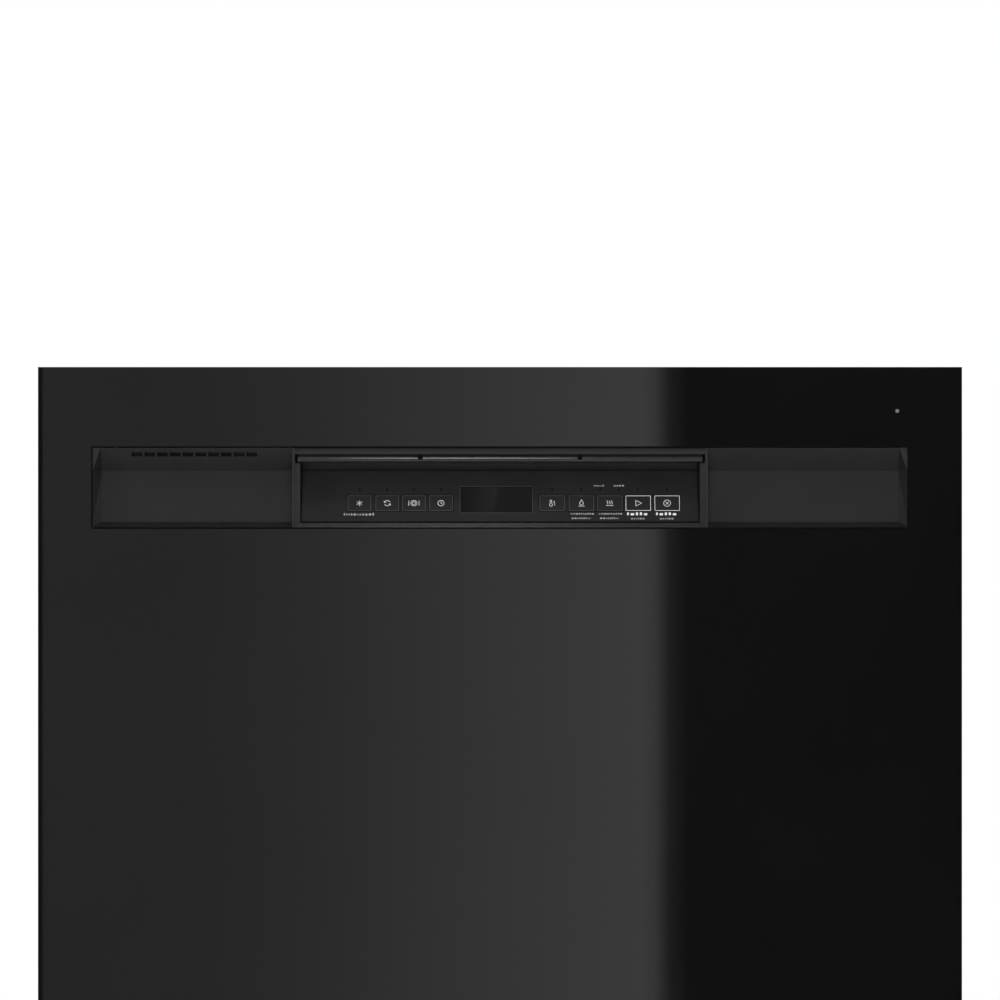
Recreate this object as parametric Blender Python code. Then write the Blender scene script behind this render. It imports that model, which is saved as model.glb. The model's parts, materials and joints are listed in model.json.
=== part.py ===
"""Built-in dishwasher, 24 inch, with a recessed front console and a pocket handle.

Metres, +Z up, the front faces -Y, and +X is to the right as seen from the front.
The origin is on the floor, in the middle of the footprint.
"""

import math

import bmesh
import bpy
from mathutils import Matrix, Vector

# Whole appliance
WIDTH = 0.606
DEPTH = 0.622
HEIGHT = 0.861
GAP = 0.0003
FRONT = -DEPTH / 2
BACK = DEPTH / 2

# Door
DOOR_BOTTOM = 0.117
DOOR_SHEET = 0.0010
PANEL_DEPTH = 0.046
LINER_FRONT = FRONT + 0.0580
LINER_BACK = FRONT + 0.059
LINER_HALF = 0.301
SEAL_HALF = 0.250
HINGE_Y = -0.280
HINGE_Z = 0.130
PIN_R = 0.004

# Console, measured down from the door's top edge and in from its front face
CUT_HALF = 0.2675
CUT_TOP = 0.0524
CUT_BOTTOM = 0.1056
CONSOLE_BACK = 0.037
CENTRE_HALF = 0.1364
WING_TOP = (0.0140, 0.0679)
WING_FOOT = (0.0080, 0.1016)
WING_BEVEL = 0.0052
FASCIA_HALF = 0.1301
FASCIA_TOP = (0.0200, 0.0682)
FASCIA_FOOT = (0.0041, 0.1012)
FASCIA_THICK = 0.0018
LIP_BOTTOM = 0.0626
LIP_BACK = 0.0097
LIP_HALF = 0.1330
# A cheek's inner face as (x, depth), and the drops between which it has that shape
UPPER_CHEEK = (((0.1346, 0.0008), (0.1340, 0.0200)), 0.0530, 0.0632)
LOWER_CHEEK = (((0.1352, 0.0008), (0.1340, 0.0014), (0.1312, 0.0036), (0.1305, 0.0200)), 0.0630, 0.1052)
VENT_SLOTS = 10
VENT_PITCH = 0.00838
VENT_SLOT = (0.0069, 0.0026)
VENT_CENTRE = (-0.2007, 0.0573)

# Keys: name, centre across the door, width
KEY_DROP = 0.0893
KEY_HEIGHT = 0.0107
KEY_THICK = 0.0024
KEYS = (
    ("key_boost", -0.0924, 0.0162),
    ("key_auto", -0.0741, 0.0162),
    ("key_normal", -0.0566, 0.0162),
    ("key_quick", -0.0388, 0.0162),
    ("key_high_temp", 0.0344, 0.0174),
    ("key_rinse", 0.0536, 0.0174),
    ("key_dry", 0.0722, 0.0174),
    ("key_start", 0.0909, 0.0174),
    ("key_cancel", 0.1099, 0.0174),
)
WINDOW = (-0.0025, 0.0869, 0.0465, 0.0165)
STATUS_X = 0.2606
STATUS_DROP = 0.0288

# Tub
TUB_WALL = 0.0010
TUB_FRONT = -0.246
TUB_HALF = 0.282
TUB_BACK = 0.287
TUB_FLOOR = 0.160
TUB_TOP = 0.843
FLANGE_HALF = 0.300
FLANGE_TOP = 0.856
FLANGE_THICK = 0.002
BLANKET = 0.012

# Wash system
SUMP = (0.0, 0.020)
SUMP_R = 0.100
FILTER = (0.045, 0.034)
FILTER_R = 0.0300
POST_R = 0.0125
ARM_Z = 0.186
ARM_REACH = 0.232

# Racks
WIRE = 0.0045
LOWER_RACK = ((-0.246, -0.222, 0.215), (0.246, 0.262, 0.345))
UPPER_RACK = ((-0.244, -0.222, 0.545), (0.244, 0.252, 0.650))
RAIL_Z = (0.598, 0.632)
WHEEL_R = 0.018
WHEEL_X = 0.2605
WHEEL_Y = (-0.185, 0.185)
WHEEL_Z = TUB_FLOOR + WHEEL_R + 0.0005
TINE_ROWS = ((-0.190, 0.25, 11), (-0.120, 0.25, 11), (-0.050, 0.25, 11), (0.020, 0.06, 7))
TINE_BAR = 0.004
TINE_TOP = 0.290
FOLD_X = 0.100
FOLD_Z = 0.2235
MIDDLE_HUB = (0.0, 0.015)
MIDDLE_ARM_Z = 0.512
HANGER_R = 0.008

# Base
LEG_X = 0.283
LEG_Y = (-0.205, 0.255)
LEG_THREAD_R = 0.005

BLACK = (0.012, 0.012, 0.013)
PANEL_BLACK = (0.005, 0.005, 0.005)
STEEL = (0.62, 0.62, 0.61)
GREY = (0.45, 0.46, 0.47)
WHITE = (0.78, 0.78, 0.76)


def clear_scene():
    for obj in list(bpy.data.objects):
        bpy.data.objects.remove(obj, do_unlink=True)


def material(name, colour, roughness, metallic=0.0):
    made = bpy.data.materials.new(name)
    made.use_nodes = True
    shader = made.node_tree.nodes["Principled BSDF"]
    shader.inputs["Base Color"].default_value = (*colour, 1.0)
    shader.inputs["Roughness"].default_value = roughness
    shader.inputs["Metallic"].default_value = metallic
    return made


def add_object(name, bm, look=None):
    """Make an object of a bmesh; look is (colour, roughness, metallic), or None for a cutter."""
    bmesh.ops.recalc_face_normals(bm, faces=bm.faces)
    mesh = bpy.data.meshes.new(name)
    bm.to_mesh(mesh)
    bm.free()
    obj = bpy.data.objects.new(name, mesh)
    bpy.context.scene.collection.objects.link(obj)
    if look:
        obj.data.materials.append(material(name, *look))
        mesh.shade_smooth()
        mesh.set_sharp_from_angle(angle=math.radians(30))
    else:
        obj.hide_render = True
        obj.display_type = "WIRE"
    return obj


def prism(name, outline, axis, low, high, look=None):
    """Extrude an outline along an axis; its points are the other two axes in X, Y, Z order."""
    order = {"X": lambda a, b, c: (c, a, b), "Y": lambda a, b, c: (a, c, b), "Z": lambda a, b, c: (a, b, c)}
    place = order[axis]
    bm = bmesh.new()
    near = [bm.verts.new(place(a, b, low)) for a, b in outline]
    far = [bm.verts.new(place(a, b, high)) for a, b in outline]
    bm.faces.new(near)
    bm.faces.new(far[::-1])
    for i in range(len(outline)):
        j = (i + 1) % len(outline)
        bm.faces.new((near[i], far[i], far[j], near[j]))
    return add_object(name, bm, look)


def box(name, low, high, look=None):
    outline = [(low[0], low[1]), (high[0], low[1]), (high[0], high[1]), (low[0], high[1])]
    return prism(name, outline, "Z", low[2], high[2], look)


def circle(centre, radius, sides=16):
    steps = [2 * math.pi * (i + 0.5) / sides for i in range(sides)]
    return [(centre[0] + radius * math.cos(a), centre[1] + radius * math.sin(a)) for a in steps]


def cylinder(name, centre, radius, axis, low, high, look=None, sides=16):
    return prism(name, circle(centre, radius, sides), axis, low, high, look)


def rounded(low, high, radius, steps=2):
    """A rectangle outline with round corners."""
    points = []
    corners = ((high[0], high[1], 0), (low[0], high[1], 1), (low[0], low[1], 2), (high[0], low[1], 3))
    for a, b, quarter in corners:
        centre_a = a - radius if a == high[0] else a + radius
        centre_b = b - radius if b == high[1] else b + radius
        for i in range(steps + 1):
            angle = math.pi / 2 * (quarter + i / steps)
            points.append((centre_a + radius * math.cos(angle), centre_b + radius * math.sin(angle)))
    return points


def turned(name, profile, centre, look, sides=24):
    """Spin a profile of (radius, z) that starts and ends on a vertical line at the centre."""
    bm = bmesh.new()
    rings = []
    for radius, z in profile:
        ring = [centre] if radius < 1e-6 else circle(centre, radius, sides)
        rings.append([bm.verts.new((x, y, z)) for x, y in ring])
    for a, b in zip(rings, rings[1:]):
        for i in range(sides):
            j = (i + 1) % sides
            corners = [a[i % len(a)], a[j % len(a)], b[j % len(b)], b[i % len(b)]]
            unique = list(dict.fromkeys(corners))
            if len(unique) > 2:
                bm.faces.new(unique)
    return add_object(name, bm, look)


def boolean(target, tool, operation, solver="EXACT"):
    modifier = target.modifiers.new(operation.lower(), "BOOLEAN")
    modifier.operation = operation
    modifier.solver = solver
    modifier.object = tool
    tool.hide_render = True
    tool.display_type = "WIRE"
    return target


def cut(target, *tools):
    for tool in tools:
        boolean(target, tool, "DIFFERENCE")
    return target


def fuse(target, *tools):
    for tool in tools:
        boolean(target, tool, "UNION")
    return target


def fuse_to_bars(target, *tools):
    """Union onto a lattice, whose many nearly level faces need the manifold solver."""
    for tool in tools:
        boolean(target, tool, "UNION", "MANIFOLD")
    return target


def pivot(obj, point):
    """Put an object's origin on its joint without moving its shape."""
    obj.data.transform(Matrix.Translation(-Vector(point)))
    obj.location = point
    return obj


def both_sides(base, make):
    """Call make(name, side) for the left piece and for the right piece."""
    return [make(base + "_left", -1), make(base + "_right", 1)]


def console_point(depth, drop):
    """Console depth and drop from the door's top edge, as (y, z)."""
    return FRONT + depth, HEIGHT - drop


def span(side, a, b):
    """Two distances from the middle, as an ordered pair of x values on one side."""
    return tuple(sorted((side * a, side * b)))


# ------------------------------------------------------------------ door
def door_panel():
    look = (PANEL_BLACK, 0.06)
    top = HEIGHT
    half = WIDTH / 2
    panel = box("door_panel", (-half, FRONT, DOOR_BOTTOM), (half, FRONT + PANEL_DEPTH, top), look)
    inside = box(
        "cutter_door_inside",
        (-half + DOOR_SHEET, FRONT + DOOR_SHEET, DOOR_BOTTOM - 0.01),
        (half - DOOR_SHEET, FRONT + 0.1, top - DOOR_SHEET),
    )
    cutout = prism(
        "cutter_console",
        rounded((-CUT_HALF, top - CUT_BOTTOM), (CUT_HALF, top - CUT_TOP), 0.0008),
        "Y", FRONT - 0.01, FRONT + 0.01,
    )
    status = cylinder(
        "cutter_status", (STATUS_X, top - STATUS_DROP), 0.0015, "Y", FRONT - 0.01, FRONT + 0.01, sides=12
    )
    return cut(panel, inside, cutout, status)


def wing_block(name, side):
    """One recessed wing: a block whose front is a shallow scoop with a sloped outer end."""
    drops = (0.0530, WING_TOP[1], WING_FOOT[1], 0.1052)
    rims = (0.0008, WING_TOP[0], WING_FOOT[0], 0.0008)
    xs = (CENTRE_HALF - 0.001, CUT_HALF - GAP - WING_BEVEL, CUT_HALF - GAP)
    bm = bmesh.new()
    front = []
    back = []
    for x in xs:
        flush = x == xs[-1]
        depths = [rims[0] if flush else rim for rim in rims]
        points = [console_point(depth, drop) for depth, drop in zip(depths, drops)]
        front.append([bm.verts.new((side * x, y, z)) for y, z in points])
        rear = [console_point(0.020, drop) for drop in drops]
        back.append([bm.verts.new((side * x, y, z)) for y, z in rear])
    for grid in (front, back):
        for i in range(len(xs) - 1):
            for j in range(len(drops) - 1):
                bm.faces.new((grid[i][j], grid[i + 1][j], grid[i + 1][j + 1], grid[i][j + 1]))
    for i in range(len(xs) - 1):
        for j in (0, len(drops) - 1):
            bm.faces.new((front[i][j], front[i + 1][j], back[i + 1][j], back[i][j]))
    for j in range(len(drops) - 1):
        for i in (0, len(xs) - 1):
            bm.faces.new((front[i][j], front[i][j + 1], back[i][j + 1], back[i][j]))
    return add_object(name, bm)


def vent_cutter():
    """The row of vent slots as one cutter of separate blocks."""
    bm = bmesh.new()
    width, height = VENT_SLOT
    first = VENT_CENTRE[0] - VENT_PITCH * (VENT_SLOTS - 1) / 2
    centre_y, centre_z = console_point(0.009, VENT_CENTRE[1])
    for i in range(VENT_SLOTS):
        place = Matrix.Translation((first + VENT_PITCH * i, centre_y, centre_z))
        size = Matrix.Diagonal((width, 0.020, height, 1.0))
        bmesh.ops.create_cube(bm, size=1.0, matrix=place @ size)
    return add_object("cutter_vent", bm)


def console_housing():
    """The centre pocket, its two cheeks and the two wings as one moulding."""
    section = (
        (0.0008, 0.1052), (0.0034, 0.1023), (0.0070, 0.1026), (0.0229, 0.0696), (0.0340, 0.0712),
        (0.0340, 0.0560), (LIP_BACK + GAP, 0.0560), (LIP_BACK + GAP, 0.0530), (CONSOLE_BACK, 0.0530),
        (CONSOLE_BACK, 0.1052),
    )
    look = (BLACK, 0.35)
    half = CENTRE_HALF - 0.002
    outline = [console_point(*point) for point in section]
    housing = prism("console_housing", outline, "X", -half, half, look)
    for side in (-1, 1):
        for inner, start, end in (UPPER_CHEEK, LOWER_CHEEK):
            cheek = ((CENTRE_HALF, 0.0008), *inner, (inner[-1][0], CONSOLE_BACK), (CENTRE_HALF, CONSOLE_BACK))
            points = [(side * x, FRONT + depth) for x, depth in cheek]
            fuse(housing, prism("tool_cheek", points, "Z", HEIGHT - end, HEIGHT - start))
        fuse(housing, wing_block("tool_wing", side))
    return cut(housing, vent_cutter())


def handle_grip():
    section = (
        (0.0026, 0.0534), (LIP_BACK, 0.0534), (LIP_BACK, 0.0600), (0.0075, LIP_BOTTOM), (0.0032, LIP_BOTTOM),
        (0.0014, 0.0621), (0.0024, 0.0608), (0.0018, 0.0604), (0.0036, 0.0577), (0.0014, 0.0571), (0.0009, 0.0556),
        (0.0012, 0.0550),
    )
    outline = [console_point(*point) for point in section]
    prism("handle_grip", outline, "X", -LIP_HALF, LIP_HALF, (BLACK, 0.25))


def fascia_frame():
    """Fascia directions in the YZ plane: its middle, the way down it, and its outward normal."""
    top = Vector((0, *console_point(*FASCIA_TOP)))
    foot = Vector((0, *console_point(*FASCIA_FOOT)))
    down = (foot - top).normalized()
    outward = Vector((0, down.z, -down.y))
    if outward.y > 0:
        outward.negate()
    return top, foot, down, outward


def fascia_slab(name, x_low, x_high, start, end, outer, inner, look=None):
    """A slab on the fascia: start and end run down it from its top, outer and inner go into it."""
    top, _, down, outward = fascia_frame()
    corners = ((start, outer), (end, outer), (end, inner), (start, inner))
    points = [top + down * along - outward * into for along, into in corners]
    return prism(name, [(p.y, p.z) for p in points], "X", x_low, x_high, look)


def fascia_along(drop):
    """Distance down the fascia of a point at a drop from the door's top edge."""
    top, _, down, _ = fascia_frame()
    return (HEIGHT - drop - top.z) / down.z


def key_slab(name, x, width, height, margin, outer, inner, look=None, drop=KEY_DROP):
    """A slab with an upright middle at x and a projected height, widened by a margin."""
    start = fascia_along(drop - height / 2) - margin
    end = fascia_along(drop + height / 2) + margin
    half = width / 2 + margin
    return fascia_slab(name, x - half, x + half, start, end, outer, inner, look)


def control_fascia():
    top, foot, _, _ = fascia_frame()
    length = (foot - top).length
    plate = fascia_slab(
        "control_fascia", -FASCIA_HALF, FASCIA_HALF, 0.0, length, 0.0, FASCIA_THICK, (BLACK, 0.18)
    )
    for name, x, width in KEYS:
        cut(plate, key_slab("cutter_" + name, x, width, KEY_HEIGHT, GAP, -0.01, 0.01))
    x, drop, width, height = WINDOW
    return cut(plate, key_slab("cutter_window", x, width, height, GAP, -0.01, 0.01, drop=drop))


def display_window():
    x, drop, width, height = WINDOW
    key_slab("display_window", x, width, height, 0.0, 0.0001, 0.0016, (PANEL_BLACK, 0.05), drop=drop)


def keys():
    top, _, down, _ = fascia_frame()
    for name, x, width in KEYS:
        cap = key_slab(name, x, width, KEY_HEIGHT, 0.0, -0.0002, KEY_THICK - 0.0002, (BLACK, 0.25))
        centre = top + down * fascia_along(KEY_DROP)
        pivot(cap, (x, centre.y, centre.z))


def control_board():
    y_low, y_high = FRONT + 0.0385, FRONT + 0.0401
    box("control_board", (-0.125, y_low, HEIGHT - 0.103), (0.125, y_high, HEIGHT - 0.060), ((0.03, 0.14, 0.07), 0.5))


def door_liner():
    """The stainless inner skin: a shallow pan with openings for the dispenser, latch and hinges."""
    top = HEIGHT - 0.0022
    bottom = DOOR_BOTTOM + 0.003
    low_y = FRONT + PANEL_DEPTH + 0.0005
    look = (STEEL, 0.3, 1.0)
    liner = box("door_liner", (-LINER_HALF, low_y, bottom), (LINER_HALF, LINER_BACK, top), look)
    inset = DOOR_SHEET
    hollow = box(
        "cutter_liner_hollow",
        (-LINER_HALF + inset, low_y - 0.01, bottom + inset),
        (LINER_HALF - inset, LINER_FRONT, top - inset),
    )
    dispenser = box("cutter_liner_dispenser", (-0.0905, LINER_FRONT - 0.01, 0.4195), (0.0905, 0, 0.5405))
    latch = box("cutter_liner_latch", (-0.013, LINER_FRONT - 0.01, 0.816), (0.013, 0, 0.840))
    cut(liner, hollow, dispenser, latch)
    for side in (-1, 1):
        low_x, high_x = span(side, 0.2805, 0.2990)
        cut(liner, box("cutter_liner_hinge", (low_x, low_y - 0.01, 0.1), (high_x, 0, 0.150)))
    return liner


def door_latch():
    """A hook on a small plate; it pivots at its front end and reaches through the liner."""
    axis_y, axis_z = LINER_FRONT - 0.022, 0.828
    outline = [
        (axis_y - 0.010, axis_z - 0.006), (LINER_BACK + 0.012, axis_z - 0.006),
        (LINER_BACK + 0.016, axis_z - 0.002), (LINER_BACK + 0.016, axis_z + 0.003),
        (LINER_BACK + 0.012, axis_z + 0.006), (LINER_BACK + 0.009, axis_z + 0.001),
        (axis_y + 0.005, axis_z + 0.001), (axis_y + 0.004, axis_z + 0.008), (axis_y - 0.010, axis_z + 0.008),
    ]
    hook = prism("latch_hook", outline, "X", -0.007, 0.007, (STEEL, 0.3, 1.0))
    return pivot(hook, (0, axis_y, axis_z))


def dispenser():
    low_y, high_y = LINER_FRONT - 0.030, LINER_BACK + 0.0015
    body = box("dispenser_body", (-0.090, low_y, 0.420), (0.090, high_y, 0.540), (GREY, 0.4))
    cup = prism("cutter_cup", rounded((-0.075, 0.437), (-0.010, 0.523), 0.008), "Y", low_y + 0.003, 0)
    well = cylinder("cutter_rinse", (0.050, 0.480), 0.0205, "Y", LINER_BACK - 0.006, 0)
    cut(body, cup, well)
    lid = prism(
        "dispenser_lid", rounded((-0.080, 0.432), (-0.004, 0.528), 0.006), "Y",
        high_y + GAP, high_y + 0.0030, (GREY, 0.35),
    )
    pivot(lid, (-0.042, high_y, 0.480))
    rinse = (0.050, 0.480)
    cap = cylinder("rinse_cap", rinse, 0.020, "Y", LINER_BACK - 0.0055, LINER_BACK + 0.0010, (GREY, 0.35), sides=20)
    bar = box(
        "tool_rinse_bar", (0.035, LINER_BACK + 0.0005, 0.477), (0.065, LINER_BACK + 0.0040, 0.483)
    )
    fuse(cap, bar)
    pivot(cap, (0.050, LINER_BACK, 0.480))


def bottom_seal():
    section = (
        (LINER_BACK + GAP, 0.1235), (LINER_BACK + 0.0030, 0.1235), (LINER_BACK + 0.0045, 0.1290),
        (LINER_BACK + 0.0030, 0.1380), (LINER_BACK + GAP, 0.1380),
    )
    prism("bottom_seal", section, "X", -SEAL_HALF, SEAL_HALF, ((0.03, 0.03, 0.03), 0.7))


def hinge_arm(name, side):
    """A plate inside the door's side, with the hole that turns on the base rail's pin."""
    low_x, high_x = span(side, 0.2895, 0.2925)
    outline = [
        (HINGE_Y - 0.010, HINGE_Z - 0.009), (HINGE_Y + 0.010, HINGE_Z - 0.009),
        (HINGE_Y + 0.0165, HINGE_Z + 0.030), (HINGE_Y + 0.0165, 0.300), (HINGE_Y - 0.014, 0.300),
        (HINGE_Y - 0.014, HINGE_Z + 0.020),
    ]
    arm = prism(name, outline, "X", low_x, high_x, (STEEL, 0.45, 1.0))
    hole = cylinder("cutter_hinge_hole", (HINGE_Y, HINGE_Z), PIN_R + 0.0004, "X", low_x - 0.01, high_x + 0.01)
    return cut(arm, hole)


# ------------------------------------------------------------------ cabinet
def tub():
    wall = TUB_WALL
    look = (STEEL, 0.28, 1.0)
    half = TUB_HALF + wall
    floor = TUB_FLOOR - wall
    shell = box("tub", (-half, TUB_FRONT, floor), (half, TUB_BACK + wall, TUB_TOP + wall), look)
    flange = box(
        "tool_tub_flange", (-FLANGE_HALF, TUB_FRONT, floor), (FLANGE_HALF, TUB_FRONT + FLANGE_THICK, FLANGE_TOP)
    )
    inside = box(
        "cutter_tub_inside", (-TUB_HALF, TUB_FRONT - 0.01, TUB_FLOOR), (TUB_HALF, TUB_BACK, TUB_TOP)
    )
    drain = cylinder("cutter_tub_drain", SUMP, SUMP_R, "Z", 0.1, 0.17, sides=24)
    fuse(shell, flange)
    return cut(shell, inside, drain)


def tub_gasket():
    """An upside-down U of rubber in front of the tub's flange."""
    outer, inner = 0.2965, 0.2845
    low, high = 0.170, 0.8535
    outline = [
        (-outer, low), (-inner, low), (-inner, high - 0.009), (inner, high - 0.009), (inner, low), (outer, low),
        (outer, high), (-outer, high),
    ]
    prism("tub_gasket", outline, "Y", LINER_BACK + 0.0006, TUB_FRONT - GAP, ((0.12, 0.12, 0.12), 0.7))


def insulation_blanket():
    inner_half = TUB_HALF + TUB_WALL + 0.0005
    inner_top = TUB_TOP + TUB_WALL + 0.0005
    low_y, high_y = TUB_FRONT + 0.008, TUB_BACK + TUB_WALL + 0.0005
    outer_half = inner_half + BLANKET
    look = ((0.10, 0.10, 0.11), 0.9)
    blanket = box(
        "insulation_blanket", (-outer_half, low_y, 0.170), (outer_half, high_y + BLANKET, inner_top + 0.009), look
    )
    inside = box("cutter_blanket", (-inner_half, low_y - 0.01, 0.1), (inner_half, high_y, inner_top))
    return cut(blanket, inside)


def base_pan():
    pan = box("base_pan", (-0.275, -0.225, 0.0428), (0.275, 0.285, 0.068), ((0.05, 0.05, 0.055), 0.5))
    inside = box("cutter_pan", (-0.2735, -0.2235, 0.0448), (0.2735, 0.2835, 0.1))
    return cut(pan, inside)


def side_rail(name, side):
    """A bent base rail: an upright web, a foot flange, a roof flange and the door's hinge pin."""
    look = ((0.55, 0.56, 0.57), 0.4, 1.0)
    web_x = span(side, 0.2945, 0.2965)
    foot_x = span(side, 0.2720, 0.2965)
    ear_x = span(side, 0.2840, 0.2875)
    pin_x = span(side, 0.2860, 0.2945)
    rail = box(name, (web_x[0], -0.238, 0.040), (web_x[1], BACK, 0.158), look)
    foot = box("tool_rail_foot", (foot_x[0], -0.238, 0.040), (foot_x[1], BACK, 0.0425))
    roof_x = span(side, 0.2800, 0.2965)
    roof = box("tool_rail_roof", (roof_x[0], -0.238, 0.1565), (roof_x[1], BACK, 0.1585))
    bridge_x = span(side, 0.2840, 0.2965)
    bridge = box("tool_rail_bridge", (bridge_x[0], -0.238, 0.119), (bridge_x[1], -0.225, 0.141))
    ear = prism(
        "tool_rail_ear",
        [(-0.230, 0.1185), (-0.230, 0.1415), (HINGE_Y, 0.1395), (HINGE_Y - 0.008, 0.1350), (HINGE_Y - 0.008, 0.1250),
         (HINGE_Y, 0.1205)],
        "X", *ear_x,
    )
    pin = cylinder("tool_rail_pin", (HINGE_Y, HINGE_Z), PIN_R, "X", *pin_x)
    fuse(rail, foot, roof, bridge, ear, pin)
    for y in LEG_Y:
        hole = cylinder("cutter_rail_hole", (side * LEG_X, y), LEG_THREAD_R + 0.0004, "Z", 0.03, 0.06, sides=12)
        cut(rail, hole)
    return rail


def levelling_leg(name, x, y):
    """A hexagonal foot with its threaded stud."""
    look = ((0.10, 0.10, 0.10), 0.5)
    foot = cylinder(name, (x, y), 0.0125, "Z", 0.0, 0.0395, look, sides=6)
    stud = cylinder("tool_leg_stud", (x, y), LEG_THREAD_R, "Z", 0.035, 0.080, sides=12)
    fuse(foot, stud)
    return pivot(foot, (x, y, 0.0))


def access_panel():
    low_y = -0.2435
    look = (BLACK, 0.35)
    panel = box("access_panel", (-0.300, low_y, 0.010), (0.300, low_y + 0.012, 0.112), look)
    inside = box("cutter_access", (-0.2985, low_y + 0.0015, 0.0115), (0.2985, 0, 0.1105))
    foot = box("cutter_access_foot", (-0.31, low_y + 0.0053, 0.0), (0.31, 0, 0.12))
    return cut(panel, inside, foot)


def worktop_bracket(name, side):
    low_x, high_x = span(side, 0.185, 0.225)
    y = TUB_FRONT
    top = FLANGE_TOP + 0.0023
    outline = [
        (y + 0.0026, 0.8485), (y + 0.0041, 0.8485), (y + 0.0041, FLANGE_TOP + 0.0008), (y + 0.045, FLANGE_TOP + 0.0008),
        (y + 0.045, top), (y + 0.0005, top), (y + 0.0005, FLANGE_TOP + 0.0003), (y + 0.0026, FLANGE_TOP + 0.0003),
    ]
    bracket = prism(name, outline, "X", low_x, high_x, ((0.6, 0.6, 0.6), 0.35, 1.0))
    hole = cylinder("cutter_bracket_hole", (side * 0.205, y + 0.034), 0.0025, "Z", 0.85, 0.87, sides=10)
    return cut(bracket, hole)


def sump():
    """A bowl under the tub's floor, with the post that the lower wash arm turns on."""
    rim = TUB_FLOOR - TUB_WALL - GAP
    profile = (
        (0.0, 0.084), (0.0920, 0.084), (0.0965, 0.088), (0.0965, 0.1530), (0.1120, 0.1530), (0.1120, rim),
        (0.0945, rim), (0.0945, 0.1545), (0.0920, 0.1545), (0.0920, 0.0885), (POST_R, 0.0885),
        (POST_R, ARM_Z - 0.006), (POST_R + 0.006, ARM_Z - 0.004), (POST_R + 0.006, ARM_Z - GAP),
        (POST_R - 0.003, ARM_Z - GAP), (POST_R - 0.003, ARM_Z + 0.0143), (POST_R + 0.002, ARM_Z + 0.0143),
        (POST_R, ARM_Z + 0.018), (0.0, ARM_Z + 0.018),
    )
    return turned("sump", profile, SUMP, ((0.08, 0.08, 0.085), 0.45))


def filters():
    plate = cylinder("fine_filter", SUMP, 0.0938, "Z", 0.1550, 0.1566, (STEEL, 0.4, 1.0), sides=24)
    for centre, radius in ((SUMP, POST_R + 0.001), (FILTER, FILTER_R + 0.0006)):
        cut(plate, cylinder("cutter_filter_hole", centre, radius, "Z", 0.1, 0.2, sides=20))
    look = ((0.20, 0.21, 0.22), 0.45)
    cup = (
        (0.0, 0.122), (FILTER_R - 0.002, 0.122), (FILTER_R, 0.124), (FILTER_R, 0.1570), (FILTER_R + 0.003, 0.1572),
        (FILTER_R + 0.003, 0.1600), (FILTER_R - 0.002, 0.1610), (0.0, 0.1610),
    )
    body = turned("twist_filter", cup, FILTER, look, sides=20)
    bar = box(
        "tool_filter_bar", (FILTER[0] - 0.024, FILTER[1] - 0.003, 0.159), (FILTER[0] + 0.024, FILTER[1] + 0.003, 0.174)
    )
    fuse(body, bar)
    pivot(body, (*FILTER, 0.0))


def pumps():
    look = ((0.12, 0.12, 0.13), 0.5)
    wash = cylinder("wash_pump", (SUMP[1], 0.112), 0.036, "X", -0.245, -0.110, look, sides=20)
    neck = cylinder("tool_wash_neck", (SUMP[1], 0.130), 0.014, "X", -0.115, -0.0972, sides=12)
    fuse(wash, neck)
    drain = cylinder("drain_pump", (SUMP[1], 0.112), 0.024, "X", 0.105, 0.185, look, sides=16)
    neck = cylinder("tool_drain_neck", (SUMP[1], 0.125), 0.010, "X", 0.0972, 0.110, sides=12)
    spigot = cylinder("tool_drain_spigot", (0.165, 0.112), 0.009, "Y", SUMP[1], SUMP[1] + 0.080, sides=12)
    fuse(drain, neck, spigot)


def inlet_valve():
    body = box("inlet_valve", (-0.235, -0.200, 0.075), (-0.195, -0.150, 0.115), ((0.75, 0.75, 0.72), 0.5))
    inlet = cylinder("tool_valve_inlet", (-0.215, -0.175), 0.010, "Z", 0.0705, 0.090, sides=12)
    coil = cylinder("tool_valve_coil", (-0.215, -0.175), 0.014, "Z", 0.110, 0.140, sides=12)
    return fuse(body, inlet, coil)


def tube_along(name, points, radius, look, cyclic=False):
    """A round bar along a list of points."""
    curve = bpy.data.curves.new(name, "CURVE")
    curve.dimensions = "3D"
    curve.bevel_depth = radius
    curve.bevel_resolution = 1
    curve.use_fill_caps = True
    spline = curve.splines.new("POLY")
    spline.points.add(len(points) - 1)
    for point, place in zip(spline.points, points):
        point.co = (*place, 1.0)
    spline.use_cyclic_u = cyclic
    obj = bpy.data.objects.new(name, curve)
    bpy.context.scene.collection.objects.link(obj)
    obj.data.materials.append(material(name, *look))
    return obj


def heater_element():
    radius, z, steps = 0.165, 0.171, 30
    start, sweep = math.radians(105), math.radians(330)
    points = []
    for i in range(steps + 1):
        angle = start + sweep * i / steps
        points.append((SUMP[0] + radius * math.cos(angle), SUMP[1] + radius * math.sin(angle), z))
    tube_along("heater_element", points, 0.004, ((0.25, 0.24, 0.23), 0.4, 1.0))


def overfill_float():
    centre = (-0.200, -0.190)
    dome = (
        (0.0, 0.1608), (0.017, 0.1608), (0.0185, 0.163), (0.0185, 0.184), (0.014, 0.192), (0.0, 0.195),
    )
    pivot(turned("overfill_float", dome, centre, ((0.5, 0.5, 0.5), 0.5), sides=16), (*centre, 0.1608))


def arm_outline(centre, reach, hub, tip):
    """A slim two-bladed arm with a round hub, seen from above; blades are swept a little."""
    sweep = 0.010
    half = [
        (hub, -tip), (reach * 0.6, -tip + sweep * 0.4), (reach - 0.008, sweep - tip * 0.9), (reach, sweep - tip * 0.3),
        (reach, sweep + tip * 0.4), (reach - 0.010, sweep + tip), (reach * 0.6, tip + sweep * 0.5),
        (hub, tip * 1.1), (hub * 0.5, hub * 0.95),
    ]
    points = half + [(-x, -y) for x, y in half]
    return [(centre[0] + x, centre[1] + y) for x, y in points]


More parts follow.
